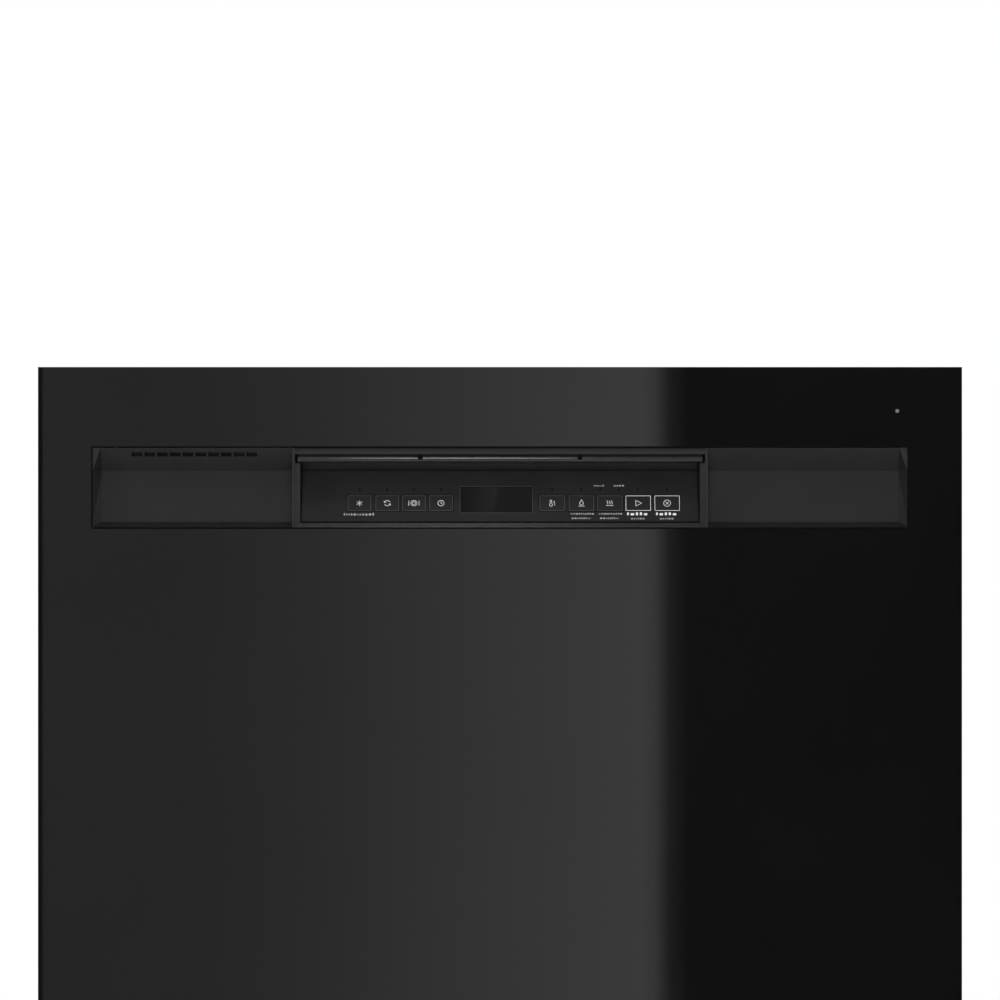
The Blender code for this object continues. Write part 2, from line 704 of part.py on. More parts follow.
def wash_arms():
    look = ((0.16, 0.17, 0.18), 0.4)
    lower = prism("lower_wash_arm", arm_outline(SUMP, ARM_REACH, 0.024, 0.013), "Z", ARM_Z, ARM_Z + 0.014, look)
    cut(lower, cylinder("cutter_lower_arm", SUMP, POST_R - 0.0024, "Z", 0.1, 0.3))
    pivot(lower, (*SUMP, ARM_Z))
    low = MIDDLE_ARM_Z
    middle = prism("middle_wash_arm", arm_outline(MIDDLE_HUB, 0.195, 0.020, 0.011), "Z", low, low + 0.012, look)
    cut(middle, cylinder("cutter_middle_arm", MIDDLE_HUB, HANGER_R + 0.0006, "Z", 0.4, 0.6))
    pivot(middle, (*MIDDLE_HUB, low))


def water_feed_tube():
    look = ((0.55, 0.56, 0.57), 0.4)
    tube = box("water_feed_tube", (-0.019, 0.2675, 0.1625), (0.019, 0.2865, 0.8300), look)
    stub = cylinder("tool_feed_stub", (0.0, 0.560), 0.011, "Y", 0.2575, 0.270, sides=12)
    jet = cylinder("tool_feed_jet", (0.0, 0.245), 0.016, "Z", 0.8180, 0.8300, sides=16)
    link = box("tool_feed_link", (-0.010, 0.245, 0.8200), (0.010, 0.270, 0.8300))
    return fuse(tube, stub, link, jet)


def upper_rail(name, side):
    """A channel on the tub's side wall, open to the inside, with its ends open."""
    low_z, high_z = RAIL_Z
    outer, inner, sheet = TUB_HALF - GAP, 0.2640, 0.0015
    outline = [
        (outer, low_z), (outer, high_z), (inner, high_z), (inner, high_z - sheet), (outer - sheet, high_z - sheet),
        (outer - sheet, low_z + sheet), (inner, low_z + sheet), (inner, low_z),
    ]
    return prism(name, [(side * x, z) for x, z in outline], "Y", -0.235, 0.262, ((0.6, 0.6, 0.6), 0.3, 1.0))


def rack_slide(name, side):
    """The telescoping bar between the channel and the rack."""
    low_z, high_z = RAIL_Z
    low_x, high_x = span(side, 0.2645, 0.2798)
    margin = 0.0020
    slide = box(
        name, (low_x, -0.232, low_z + margin), (high_x, 0.258, high_z - margin), ((0.66, 0.66, 0.66), 0.25, 1.0)
    )
    groove_x = span(side, 0.2640, 0.2700)
    groove = box("cutter_slide_groove", (groove_x[0], -0.3, low_z + 0.010), (groove_x[1], 0.3, high_z - 0.010))
    return cut(slide, groove)


def lattice(name, low, high, cells, look):
    """An open-topped basket of square bars: a grid of faces that the Wireframe modifier turns into bars."""
    counts = cells
    bm = bmesh.new()
    found = {}

    def vertex(i, j, k):
        key = (i, j, k)
        if key not in found:
            share = [n / count for n, count in zip(key, counts)]
            place = [a + (b - a) * s for a, b, s in zip(low, high, share)]
            found[key] = bm.verts.new(place)
        return found[key]

    nx, ny, nz = counts
    for i in range(nx):
        for j in range(ny):
            bm.faces.new([vertex(*key) for key in ((i, j, 0), (i, j + 1, 0), (i + 1, j + 1, 0), (i + 1, j, 0))])
        for k in range(nz):
            for j in (0, ny):
                bm.faces.new([vertex(*key) for key in ((i, j, k), (i + 1, j, k), (i + 1, j, k + 1), (i, j, k + 1))])
    for j in range(ny):
        for k in range(nz):
            for i in (0, nx):
                bm.faces.new([vertex(*key) for key in ((i, j, k), (i, j + 1, k), (i, j + 1, k + 1), (i, j, k + 1))])
    obj = add_object(name, bm, look)
    bars = obj.modifiers.new("bars", "WIREFRAME")
    bars.thickness = WIRE
    bars.use_even_offset = False
    bars.use_boundary = True
    bars.use_replace = True
    bars.offset = 0.0
    return obj


def comb(start, end, base, bar, tip, teeth, width):
    """A tine row seen from the side: a bar with narrow teeth standing on it."""
    points = [(start, base), (end, base), (end, base + bar)]
    pitch = (end - start) / teeth
    for i in reversed(range(teeth)):
        middle = start + pitch * (i + 0.5)
        points += [
            (middle + width, base + bar), (middle + width * 0.6, tip), (middle - width * 0.6, tip),
            (middle - width, base + bar),
        ]
    points.append((start, base + bar))
    return points


def upper_rack():
    look = (GREY, 0.45)
    low, high = UPPER_RACK
    rack = lattice("upper_rack", low, high, (6, 6, 1), look)
    for side in (-1, 1):
        low_x, high_x = span(side, high[0] - 0.001, 0.2690)
        lug = box("tool_rack_lug", (low_x, -0.215, 0.6095), (high_x, 0.200, 0.6205))
        fuse_to_bars(rack, lug)
        post_x = span(side, high[0] - 0.0010, high[0] + 0.0040)
        for y in (-0.19, 0.01, 0.17):
            fuse_to_bars(rack, box("tool_rack_post", (post_x[0], y, 0.543), (post_x[1], y + 0.006, 0.652)))
    disc = cylinder("tool_hanger_disc", MIDDLE_HUB, 0.050, "Z", 0.5433, 0.5463)
    stem = cylinder("tool_hanger_stem", MIDDLE_HUB, HANGER_R, "Z", 0.506, 0.545, sides=12)
    nut = cylinder("tool_hanger_nut", MIDDLE_HUB, 0.013, "Z", 0.506, MIDDLE_ARM_Z - 0.0004, sides=12)
    return fuse_to_bars(rack, disc, stem, nut)


def lower_rack():
    look = (GREY, 0.45)
    low, high = LOWER_RACK
    rack = lattice("lower_rack", low, high, (6, 6, 1), look)
    for side in (-1, 1):
        for y in WHEEL_Y:
            plate_x = span(side, high[0] - 0.0010, high[0] + 0.0040)
            plate = box("tool_wheel_plate", (plate_x[0], y - 0.008, WHEEL_Z - 0.008), (plate_x[1], y + 0.008, 0.250))
            axle_x = span(side, high[0] + 0.001, WHEEL_X + 0.0075)
            axle = cylinder("tool_wheel_axle", (y, WHEEL_Z), 0.0040, "X", *axle_x, sides=12)
            fuse_to_bars(rack, plate, axle)
    return rack


def fixed_tines():
    """Four rows of plate tines on two cross bars, one insert that lies on the lower rack's floor."""
    low = LOWER_RACK[0][2] + WIRE / 2 + GAP
    tops = low + TINE_BAR
    start, stop = TINE_ROWS[0][0], TINE_ROWS[-1][0]
    insert = box("fixed_tines", (start, -0.198, low), (stop, -0.194, tops), (GREY, 0.45))
    fuse(insert, box("tool_tine_bar", (start, 0.046, low), (stop, 0.050, tops)))
    for x, end, teeth in TINE_ROWS:
        outline = comb(-0.21, end, low, TINE_BAR, TINE_TOP, teeth, 0.0025)
        fuse(insert, prism("tool_tine_row", outline, "X", x - 0.002, x + 0.002))
    return insert


def rack_wheel(name, side, y):
    low_x, high_x = span(side, WHEEL_X - 0.0055, WHEEL_X + 0.0055)
    wheel = cylinder(name, (y, WHEEL_Z), WHEEL_R, "X", low_x, high_x, (GREY, 0.4), sides=20)
    cut(wheel, cylinder("cutter_wheel", (y, WHEEL_Z), 0.0045, "X", low_x - 0.01, high_x + 0.01, sides=12))
    return pivot(wheel, (side * WHEEL_X, y, WHEEL_Z))


def folding_tines():
    """A row of tines that folds down to the right about its own bar."""
    outline = comb(-0.20, 0.06, FOLD_Z - 0.003, 0.006, TINE_TOP, 7, 0.0025)
    row = prism("folding_tines", outline, "X", FOLD_X - 0.003, FOLD_X + 0.003, (GREY, 0.45))
    return pivot(row, (FOLD_X, -0.07, FOLD_Z))


def cutlery_basket():
    low, high = (0.040, 0.085, 0.2202), (0.225, 0.235, 0.330)
    return lattice("cutlery_basket", low, high, (4, 3, 2), ((0.30, 0.31, 0.33), 0.45))


def build():
    clear_scene()
    door_panel()
    console_housing()
    handle_grip()
    control_fascia()
    display_window()
    keys()
    control_board()
    door_liner()
    door_latch()
    dispenser()
    bottom_seal()
    both_sides("hinge_arm", hinge_arm)
    tub()
    tub_gasket()
    insulation_blanket()
    base_pan()
    both_sides("side_rail", side_rail)
    for y, place in zip(LEG_Y, ("front", "rear")):
        for side, hand in ((-1, "left"), (1, "right")):
            levelling_leg(f"levelling_leg_{place}_{hand}", side * LEG_X, y)
    access_panel()
    both_sides("worktop_bracket", worktop_bracket)
    sump()
    filters()
    pumps()
    inlet_valve()
    heater_element()
    overfill_float()
    wash_arms()
    water_feed_tube()
    both_sides("upper_rail", upper_rail)
    both_sides("rack_slide", rack_slide)
    upper_rack()
    lower_rack()
    fixed_tines()
    for y, place in zip(WHEEL_Y, ("front", "rear")):
        for side, hand in ((-1, "left"), (1, "right")):
            rack_wheel(f"rack_wheel_{place}_{hand}", side, y)
    folding_tines()
    cutlery_basket()


build()
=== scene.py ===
import json
import math
import random

import bmesh
import bpy
from mathutils import Matrix, Vector, noise


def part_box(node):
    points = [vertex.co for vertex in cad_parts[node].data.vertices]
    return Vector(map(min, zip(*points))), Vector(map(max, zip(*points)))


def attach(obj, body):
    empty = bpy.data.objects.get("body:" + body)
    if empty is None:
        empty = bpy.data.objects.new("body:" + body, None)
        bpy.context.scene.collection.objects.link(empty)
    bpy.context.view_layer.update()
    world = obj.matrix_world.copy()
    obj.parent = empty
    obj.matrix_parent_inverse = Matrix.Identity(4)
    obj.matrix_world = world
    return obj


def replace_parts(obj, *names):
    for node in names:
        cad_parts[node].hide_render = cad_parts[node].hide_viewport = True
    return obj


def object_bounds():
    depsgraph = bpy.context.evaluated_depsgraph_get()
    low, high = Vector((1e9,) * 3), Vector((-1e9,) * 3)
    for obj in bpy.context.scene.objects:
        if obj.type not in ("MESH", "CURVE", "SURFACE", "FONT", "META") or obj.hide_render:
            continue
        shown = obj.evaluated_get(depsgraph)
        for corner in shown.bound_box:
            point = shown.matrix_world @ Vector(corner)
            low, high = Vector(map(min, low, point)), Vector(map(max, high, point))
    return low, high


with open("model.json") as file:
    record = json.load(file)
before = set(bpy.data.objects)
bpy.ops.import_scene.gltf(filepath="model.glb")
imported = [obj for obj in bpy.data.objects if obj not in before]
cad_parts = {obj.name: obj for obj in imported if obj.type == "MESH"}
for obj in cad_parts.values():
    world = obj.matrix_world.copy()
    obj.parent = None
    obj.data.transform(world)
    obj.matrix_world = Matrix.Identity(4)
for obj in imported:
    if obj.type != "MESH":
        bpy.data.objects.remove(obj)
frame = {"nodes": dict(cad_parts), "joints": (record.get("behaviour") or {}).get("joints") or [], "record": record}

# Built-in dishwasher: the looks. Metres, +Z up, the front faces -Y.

CAD_BOX = [list(corner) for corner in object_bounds()]
NODES = frame["nodes"]
NODE_SLOT = {s["node"]: s["material_slot"] for s in frame["record"]["subparts"]}
SIDES = ((-1, "left"), (1, "right"))

# ---------------------------------------------------------------- places taken from the frame
DOOR_LOW, DOOR_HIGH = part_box("door_panel")
FRONT = DOOR_LOW.y
TOP = DOOR_HIGH.z
WIDTH = DOOR_HIGH.x - DOOR_LOW.x

# ---------------------------------------------------------------- the view and the light
LENS = 200.0
SENSOR = 36.0
DOOR_SHARE = 0.924            # the door's width as a share of the picture's width
EYE_DROP = 0.0872             # the camera's height below the door's top edge
VIEW_WIDTH = WIDTH / DOOR_SHARE
CAMERA_DISTANCE = VIEW_WIDTH / 2 / (SENSOR / 2 / LENS)
CARD_DISTANCE = 3.4
CARD_HEIGHTS = (-0.4, 1.9)
GLARE_DISTANCE = 0.60         # from the display window to the slanted card it reflects
GLARE_EDGE = -0.0025          # where the glare ends on the window, across the door
GLARE_SLANT = 0.0024
GLARE_LEVELS = (0.12, 0.42)   # the card's radiance at its left and right
# The soft bright-to-dark reflection on the door: (place across the door, radiance of the card there)
REFLECTION = (
    (-0.300, 0.37), (-0.205, 0.38), (-0.125, 0.47), (-0.066, 0.60), (0.013, 0.78),
    (0.092, 0.95), (0.101, 0.80), (0.111, 0.20), (0.123, 0.045), (0.300, 0.030),
)
MIDDLE = (0.0, 0.0, 0.45)
LIP = Vector((-0.03, FRONT, TOP - 0.058))
# Name, place, target, size, power, seen in gloss, seen in matt
LIGHTS = (
    ("overhead_soft", (0.0, -0.4, 3.4), MIDDLE, (3.0, 2.6), 10.0, True, True),
    ("left_soft", (-2.9, -1.6, 1.9), MIDDLE, (1.6, 1.6), 22.0, True, True),
    ("right_soft", (3.0, -1.4, 1.6), MIDDLE, (1.4, 1.6), 16.0, True, True),
    ("back_soft", (0.8, 3.2, 2.0), MIDDLE, (2.2, 1.6), 40.0, True, True),
    ("front_fill", (0.0, -4.4, 1.3), MIDDLE, (2.4, 2.0), 78.0, False, True),
    ("low_fill", (0.0, -3.4, 0.30), MIDDLE, (2.4, 0.5), 34.0, False, True),
    ("lip_glint", LIP + Vector((0.0, -0.10, 0.30)), LIP, (0.14, 0.04), 0.20, True, False),
)


def add_to_scene(name, data):
    obj = bpy.data.objects.new(name, data)
    bpy.context.scene.collection.objects.link(obj)
    return obj


def make_camera():
    data = bpy.data.cameras.new("camera")
    data.lens = LENS
    data.sensor_width = SENSOR
    data.clip_start = 0.05
    data.clip_end = 60.0
    camera = add_to_scene("camera", data)
    camera.location = (0.0, FRONT - CAMERA_DISTANCE, TOP - EYE_DROP)
    camera.rotation_euler = (math.radians(90), 0.0, 0.0)
    bpy.context.scene.camera = camera
    bpy.context.scene.view_settings.view_transform = "Standard"


def feed(tree, node, values):
    """Set a node's inputs by name, each to a value or to another node's output."""
    for name, value in values.items():
        if isinstance(value, bpy.types.NodeSocket):
            tree.links.new(value, node.inputs[name])
        else:
            node.inputs[name].default_value = value
    return node


def add_node(tree, kind, values):
    return feed(tree, tree.nodes.new("ShaderNode" + kind), values)


def stops_ramp(tree, source, stops):
    """A colour ramp over a 0 to 1 field; a stop is (place, colour)."""
    ramp = add_node(tree, "ValToRGB", {"Fac": source})
    elements = ramp.color_ramp.elements
    while len(elements) < len(stops):
        elements.new(0.5)
    for element, (place, colour) in zip(elements, stops):
        element.position, element.color = place, (*colour, 1.0)
    return ramp.outputs["Color"]


def object_axis(tree, kind, axis):
    """One axis of a texture coordinate."""
    place = add_node(tree, "TexCoord", {})
    return add_node(tree, "SeparateXYZ", {"Vector": place.outputs[kind]}).outputs[axis]


def make_world():
    """White behind the object, and a soft dim studio for everything that it lights or that reflects it."""
    world = bpy.data.worlds.new("studio")
    bpy.context.scene.world = world
    world.use_nodes = True
    tree = world.node_tree
    tree.nodes.clear()
    height = add_node(tree, "MapRange", {"Value": object_axis(tree, "Generated", "Z"), "From Min": -1.0})
    stops = ((0.50, (0.020, 0.020, 0.020)), (0.62, (0.10, 0.10, 0.103)), (1.0, (0.26, 0.263, 0.27)))
    sky = stops_ramp(tree, height.outputs["Result"], stops)
    dim = add_node(tree, "Background", {"Color": sky, "Strength": 1.0})
    white = add_node(tree, "Background", {"Color": (1.0, 1.0, 1.0, 1.0), "Strength": 1.0})
    seen = add_node(tree, "LightPath", {}).outputs["Is Camera Ray"]
    mix = tree.nodes.new("ShaderNodeMixShader")
    for socket, source in zip(mix.inputs, (seen, dim.outputs[0], white.outputs[0])):
        tree.links.new(source, socket)
    add_node(tree, "OutputWorld", {"Surface": mix.outputs[0]})


def area_light(name, place, target, size, power, glossy, diffuse):
    data = bpy.data.lights.new(name, "AREA")
    data.shape = "RECTANGLE"
    data.size, data.size_y = size
    data.energy = power
    light = add_to_scene(name, data)
    light.location = place
    light.rotation_mode = "QUATERNION"
    light.rotation_quaternion = (Vector(target) - Vector(place)).to_track_quat("-Z", "Y")
    light.visible_glossy = glossy
    light.visible_diffuse = diffuse
    light.visible_camera = False


def glow_card(name, corners, stops):
    """A glowing stage card, seen only in reflections. Stops are (x, radiance), from left to right."""
    bm = bmesh.new()
    bm.faces.new([bm.verts.new(c) for c in corners])
    obj = add_to_scene(name, finished_mesh(name, bm))
    look = bpy.data.materials.new(name)
    look.use_nodes = True
    tree = look.node_tree
    tree.nodes.clear()
    left, right = stops[0][0], stops[-1][0]
    values = {"Value": object_axis(tree, "Object", "X"), "From Min": left, "From Max": right}
    across = add_node(tree, "MapRange", values).outputs["Result"]
    radiance = stops_ramp(tree, across, [((x - left) / (right - left), (value,) * 3) for x, value in stops])
    glow = add_node(tree, "Emission", {"Color": radiance})
    add_node(tree, "OutputMaterial", {"Surface": glow.outputs[0]})
    obj.data.materials.append(look)
    obj.visible_camera = False
    obj.visible_diffuse = False
    obj.visible_shadow = False


def window_glare():
    """A small slanted card above the door, which the display window mirrors in its left half."""
    outward, _ = fascia_axes()
    low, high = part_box("display_window")
    spot = (low + high) / 2
    away = Vector((0.0, 1.0, 0.0)) - outward * (2.0 * outward.y)
    rise = Vector((0.0, away.z, -away.y))
    spread_out = 1.0 + GLARE_DISTANCE / CAMERA_DISTANCE
    middle = Vector((0.0, spot.y, spot.z)) + away * GLARE_DISTANCE
    left, edge = (low.x - 0.002) * spread_out, GLARE_EDGE * spread_out
    tall = (high.z - low.z) * 0.56 * spread_out
    outline = ((left, -1.0), (edge - GLARE_SLANT, -1.0), (edge + GLARE_SLANT, 1.0), (left, 1.0))
    corners = [middle + rise * (tall * v) + Vector((x, 0.0, 0.0)) for x, v in outline]
    glow_card("window_glare", corners, [(left, GLARE_LEVELS[0]), (edge + GLARE_SLANT, GLARE_LEVELS[1])])


def make_lights():
    mirrored = 1.0 + CARD_DISTANCE / CAMERA_DISTANCE
    stops = [(x * mirrored, value) for x, value in REFLECTION]
    (left, _), (right, _) = stops[0], stops[-1]
    low, high = CARD_HEIGHTS
    across_up = (left, low), (right, low), (right, high), (left, high)
    corners = [(x, FRONT - CARD_DISTANCE, z) for x, z in across_up]
    glow_card("gradient_card", corners, stops)
    window_glare()
    for light in LIGHTS:
        area_light(*light)


def make_floor():
    bm = bmesh.new()
    bmesh.ops.create_circle(bm, cap_ends=True, radius=3.4, segments=96)
    floor = add_to_scene("floor", finished_mesh("floor", bm))
    look, shader, tree = new_material("floor_pale")
    feed(tree, shader, {"Base Color": (0.80, 0.80, 0.79, 1.0), "Roughness": 0.75})
    floor.data.materials.append(look)
    floor.location.z = CAD_BOX[0][2] - 0.0005


# ---------------------------------------------------------------- materials
EVEN = (1.0, 1.0, 1.0)
BRUSHING = (0.012, 1.0, 1.0)
METAL = {"Metallic": 1.0}


def new_material(name):
    look = bpy.data.materials.new(name)
    look.use_nodes = True
    tree = look.node_tree
    return look, tree.nodes["Principled BSDF"], tree


def coordinates(tree, stretch=EVEN):
    place = add_node(tree, "TexCoord", {})
    return add_node(tree, "Mapping", {"Vector": place.outputs["Object"], "Scale": stretch}).outputs["Vector"]


def noise_field(tree, scale, stretch=EVEN, detail=3.0, rough=0.5):
    values = {"Vector": coordinates(tree, stretch), "Scale": scale, "Detail": detail, "Roughness": rough}
    return add_node(tree, "TexNoise", values).outputs["Fac"]


def ramp_of(tree, source, low, high, start=0.3, end=0.7):
    """Turn a 0 to 1 field into a colour between low and high."""
    return stops_ramp(tree, source, ((start, low), (end, high)))


def range_of(tree, source, low, high, start=0.3, end=0.7):
    values = {"Value": source, "From Min": start, "From Max": end, "To Min": low, "To Max": high}
    return add_node(tree, "MapRange", values).outputs["Result"]


def add_bump(tree, shader, source, strength, distance):
    """Relief on top of any that the shader has."""
    values = {"Height": source, "Strength": strength, "Distance": distance}
    if shader.inputs["Normal"].links:
        values["Normal"] = shader.inputs["Normal"].links[0].from_socket
    feed(tree, shader, {"Normal": add_node(tree, "Bump", values).outputs["Normal"]})


def tones(colour, spread):
    """A darker and a lighter version of a colour."""
    return [[c * (1.0 - spread) for c in colour], [min(1.0, c * (1.0 + spread)) for c in colour]]


def finish(name, colours, haze, gloss, relief=(), more=(), span=(0.3, 0.7)):
    """A finish whose colour, roughness and relief vary.

    Haze is the colour's noise, gloss is one roughness or (low, high, noise), and each relief is
    (strength, depth, noise). A noise is (scale, stretch, detail, roughness)."""
    look, shader, tree = new_material(name)
    feed(tree, shader, {"Base Color": ramp_of(tree, noise_field(tree, *haze), *colours, *span), **dict(more)})
    if isinstance(gloss, float):
        feed(tree, shader, {"Roughness": gloss})
    else:
        feed(tree, shader, {"Roughness": range_of(tree, noise_field(tree, *gloss[2:]), *gloss[:2])})
    for strength, depth, *grain in relief:
        add_bump(tree, shader, noise_field(tree, *grain), strength, depth)
    return look


def gloss_black():
    """Deep gloss paint: a clean mirror with the faintest orange peel and haze."""
    smear = (0.008, 0.020, 28.0, (1.0, 1.0, 0.35), 6.0, 0.62)
    peel = (0.01, 0.000004, 260.0, EVEN, 1.0)
    return finish(
        "gloss_black_paint", tones((0.0036, 0.0036, 0.0037), 0.12), (9.0, EVEN, 4.0), smear, [peel],
        {"IOR": 1.5}
    )


def moulded(name, colour, roughness, grain=2400.0, depth=0.25, specular=0.5):
    """Injection-moulded plastic with a fine spark-eroded grain and slightly uneven sheen."""
    sheen = (roughness * 0.88, roughness * 1.12, 120.0, EVEN, 4.0)
    relief = [(depth, 0.00004, grain, EVEN, 2.0)]
    return finish(name, tones(colour, 0.10), (40.0,), sheen, relief, {"Specular IOR Level": specular})


def brushed(name, roughness):
    """Brushed stainless sheet: fine lines along one direction, in colour, gloss and relief."""
    look, shader, tree = new_material(name)
    lines = noise_field(tree, 1500.0, BRUSHING, detail=3.0, rough=0.60)
    clouds = noise_field(tree, 14.0, detail=3.0)
    both = tree.nodes.new("ShaderNodeMath")
    both.operation = "MULTIPLY"
    tree.links.new(range_of(tree, lines, 0.90, 1.10), both.inputs[0])
    tree.links.new(range_of(tree, clouds, roughness * 0.85, roughness * 1.15), both.inputs[1])
    colour = ramp_of(tree, lines, *tones((0.76, 0.76, 0.75), 0.06))
    feed(tree, shader, {"Base Color": colour, "Roughness": both.outputs[0], "Anisotropic": 0.5, **METAL})
    add_bump(tree, shader, lines, 0.06, 0.00002)
    return look


def galvanised():
    """Zinc-coated sheet with its crystal spangle."""
    look, shader, tree = new_material("zinc_sheet")
    cells = add_node(tree, "TexVoronoi", {"Vector": coordinates(tree), "Scale": 210.0})
    grey = add_node(tree, "RGBToBW", {"Color": cells.outputs["Color"]}).outputs[0]
    colour = ramp_of(tree, grey, *tones((0.50, 0.52, 0.54), 0.09), 0.1, 0.9)
    matt = range_of(tree, grey, 0.34, 0.44, 0.0, 1.0)
    feed(tree, shader, {"Base Color": colour, "Roughness": matt, **METAL})
    add_bump(tree, shader, noise_field(tree, 900.0), 0.15, 0.00004)
    return look


def perforated():
    """Stainless plate punched all over with fine holes: each hole is a near-black dot of painted shade, for the
    dark seen through it, and is sunk in relief.
    """
    look, shader, tree = new_material("perforated_plate")
    values = {"Vector": coordinates(tree, (1.0, 1.0, 0.0)), "Scale": 420.0, "Randomness": 0.0}
    holes = add_node(tree, "TexVoronoi", values).outputs["Distance"]
    # near-black inside each hole: painted shade, not the steel's colour
    colour = ramp_of(tree, holes, (0.010, 0.010, 0.010), (0.60, 0.60, 0.59), 0.24, 0.32)
    smear = range_of(tree, noise_field(tree, 60.0), 0.25, 0.40)
    feed(tree, shader, {"Base Color": colour, "Roughness": smear})
    feed(tree, shader, METAL)
    add_bump(tree, shader, holes, 0.5, 0.0003)
    return look


def rubber(name, colour):
    grain = (0.3, 0.00005, 3000.0)
    return finish(name, tones(colour, 0.2), (60.0, EVEN, 5.0), (0.55, 0.75, 200.0), [grain])


def felt(name, colour):
    """Needled wadding: matted fibres, with a soft sheen."""
    fibres = (700.0, (1.0, 1.0, 0.25), 6.0, 0.7)
    relief = [(0.6, 0.0006, *fibres), (0.4, 0.0015, 70.0)]
    return finish(name, tones(colour, 0.45), fibres, 0.95, relief, {"Sheen Weight": 0.3}, (0.35, 0.65))


def circuit_green():
    look, shader, tree = new_material("solder_mask_green")
    values = {
        "Vector": coordinates(tree), "Scale": 90.0, "Mortar Size": 0.08, "Color1": (0.010, 0.085, 0.040, 1.0),
        "Color2": (0.012, 0.100, 0.048, 1.0), "Mortar": (0.030, 0.210, 0.095, 1.0),
    }
    tracks = add_node(tree, "TexBrick", values)
    feed(tree, shader, {"Base Color": tracks.outputs["Color"], "Roughness": 0.3})
    add_bump(tree, shader, noise_field(tree, 400.0), 0.1, 0.00005)
    return look


def heated_metal():
    """A heater's sheath: grey metal with straw and blue temper tints."""
    tints = ((0.16, 0.14, 0.12), (0.30, 0.27, 0.25))
    return finish("tempered_sheath", tints, (18.0,), (0.30, 0.5, 300.0), [(0.2, 0.00005, 1500.0)], METAL)


def printed(name, level):
    """Screen-printed ink, a little uneven."""
    return finish(name, tones((level,) * 3, 0.06), (1500.0,), 0.5)


def smoked():
    return finish("smoked_window", tones((0.0030, 0.0030, 0.0034), 0.15), (60.0,), (0.03, 0.06, 90.0))


LOOKS = {}
# Slot or look, material, colour, roughness and what differs from the usual moulding
MOULDINGS = (
    ("console_black", "satin_black_console", (0.016, 0.016, 0.0162), 0.4, {"depth": 0.12, "specular": 0.3}),
    ("key_black", "satin_black_key", (0.0156, 0.0156, 0.0158), 0.42, {"depth": 0.10, "specular": 0.16}),
    ("fascia_black", "satin_black_fascia", (0.0156, 0.0156, 0.0158), 0.46, {"depth": 0.1, "specular": 0.14}),
    ("lip_black", "satin_black_lip", (0.0170, 0.0170, 0.0172), 0.25, {"depth": 0.05, "specular": 0.55}),
    ("lens_clear", "lens_grey", (0.16, 0.17, 0.18), 0.15, {"depth": 0.05}),
    ("rack_nylon", "nylon_coating", (0.36, 0.38, 0.40), 0.38, {"grain": 900.0}),
    ("grey_plastic", "grey_moulding", (0.40, 0.41, 0.43), 0.42, {}),
    ("dark_plastic", "dark_moulding", (0.045, 0.047, 0.050), 0.45, {}),
    ("valve_white", "valve_white", (0.70, 0.70, 0.67), 0.45, {}),
    # near-black: the painted shadow line round the console housing, and the grip screws' heads
    ("shadow_line_and_screw_black", "shadow_line_and_screw_black", (0.0012, 0.0012, 0.0012), 0.60, {"specular": 0.10}),
)


def make_materials():
    for look, name, colour, roughness, more in MOULDINGS:
        LOOKS[look] = moulded(name, colour, roughness, **more)
    for name, level in (("ink_white", 0.72), ("ink_soft", 0.34), ("ink_grey", 0.060)):
        LOOKS[name] = printed(name, level)
    LOOKS["door_gloss"] = gloss_black()
    LOOKS["window_smoke"] = smoked()
    LOOKS["circuit_board"] = circuit_green()
    LOOKS["stainless"] = brushed("stainless_sheet", 0.33)
    LOOKS["stainless_pressed"] = brushed("stainless_pressed", 0.30)
    LOOKS["perforated"] = perforated()
    LOOKS["zinc_steel"] = galvanised()
    LOOKS["seal_rubber"] = rubber("seal_rubber", (0.030, 0.030, 0.031))
    LOOKS["blanket_felt"] = felt("blanket_felt", (0.075, 0.075, 0.080))
    LOOKS["thread_grey"] = felt("thread_grey", (0.26, 0.26, 0.27))
    LOOKS["heater_metal"] = heated_metal()


NODE_LOOK = {"control_fascia": "fascia_black", "fine_filter": "perforated"}


def dress_cad_nodes():
    for name, obj in NODES.items():
        obj.data.materials.clear()
        obj.data.materials.append(LOOKS[NODE_LOOK.get(name, NODE_SLOT[name])])
        for polygon in obj.data.polygons:
            polygon.material_index = 0


# ---------------------------------------------------------------- making pieces
def link(obj, body, look):
    """Put a finished object on its body and with its finish."""
    obj.data.materials.append(LOOKS[look])
    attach(obj, body)
    return obj


def finished_mesh(name, bm):
    mesh = bpy.data.meshes.new(name)
    bm.to_mesh(mesh)
    bm.free()
    return mesh


def build(name, parts, body, slot, look=None, smooth_angle=35):
    """One mesh piece out of parts, each a shape's function and its arguments."""
    bm = bmesh.new()
    for shape, *arguments in parts:
        shape(bm, *arguments)
    bmesh.ops.recalc_face_normals(bm, faces=bm.faces)
    mesh = finished_mesh(name, bm)
    mesh.shade_smooth()
    mesh.set_sharp_from_angle(angle=math.radians(smooth_angle))
    return link(add_to_scene(name, mesh), body, look or slot)


def wires(name, paths, radius, body, slot, look=None, sides=2):
    """Round wires as one curve piece. A path is (points, closed) and may add a radius share at each point."""
    curve = bpy.data.curves.new(name, "CURVE")
    curve.dimensions = "3D"
    curve.bevel_depth = radius
    curve.bevel_resolution = sides
    curve.use_fill_caps = True
    for points, closed, *shares in paths:
        spline = curve.splines.new("POLY")
        spline.points.add(len(points) - 1)
        for point, place, share in zip(spline.points, points, shares[0] if shares else [1.0] * len(points)):
            point.co = (*place, 1.0)
            point.radius = share
        spline.use_cyclic_u = closed
    return link(add_to_scene(name, curve), body, look or slot)


def soften(name, width, segments=2, angle=35):
    """Round a CAD node's moulded or folded edges."""
    bevel = NODES[name].modifiers.new("soft_edges", "BEVEL")
    bevel.width = width
    bevel.segments = segments
    bevel.limit_method = "ANGLE"
    bevel.angle_limit = math.radians(angle)
    bevel.use_clamp_overlap = True
    bevel.harden_normals = True
    NODES[name].data.shade_smooth()
    NODES[name].data.set_sharp_from_angle(angle=math.radians(angle))


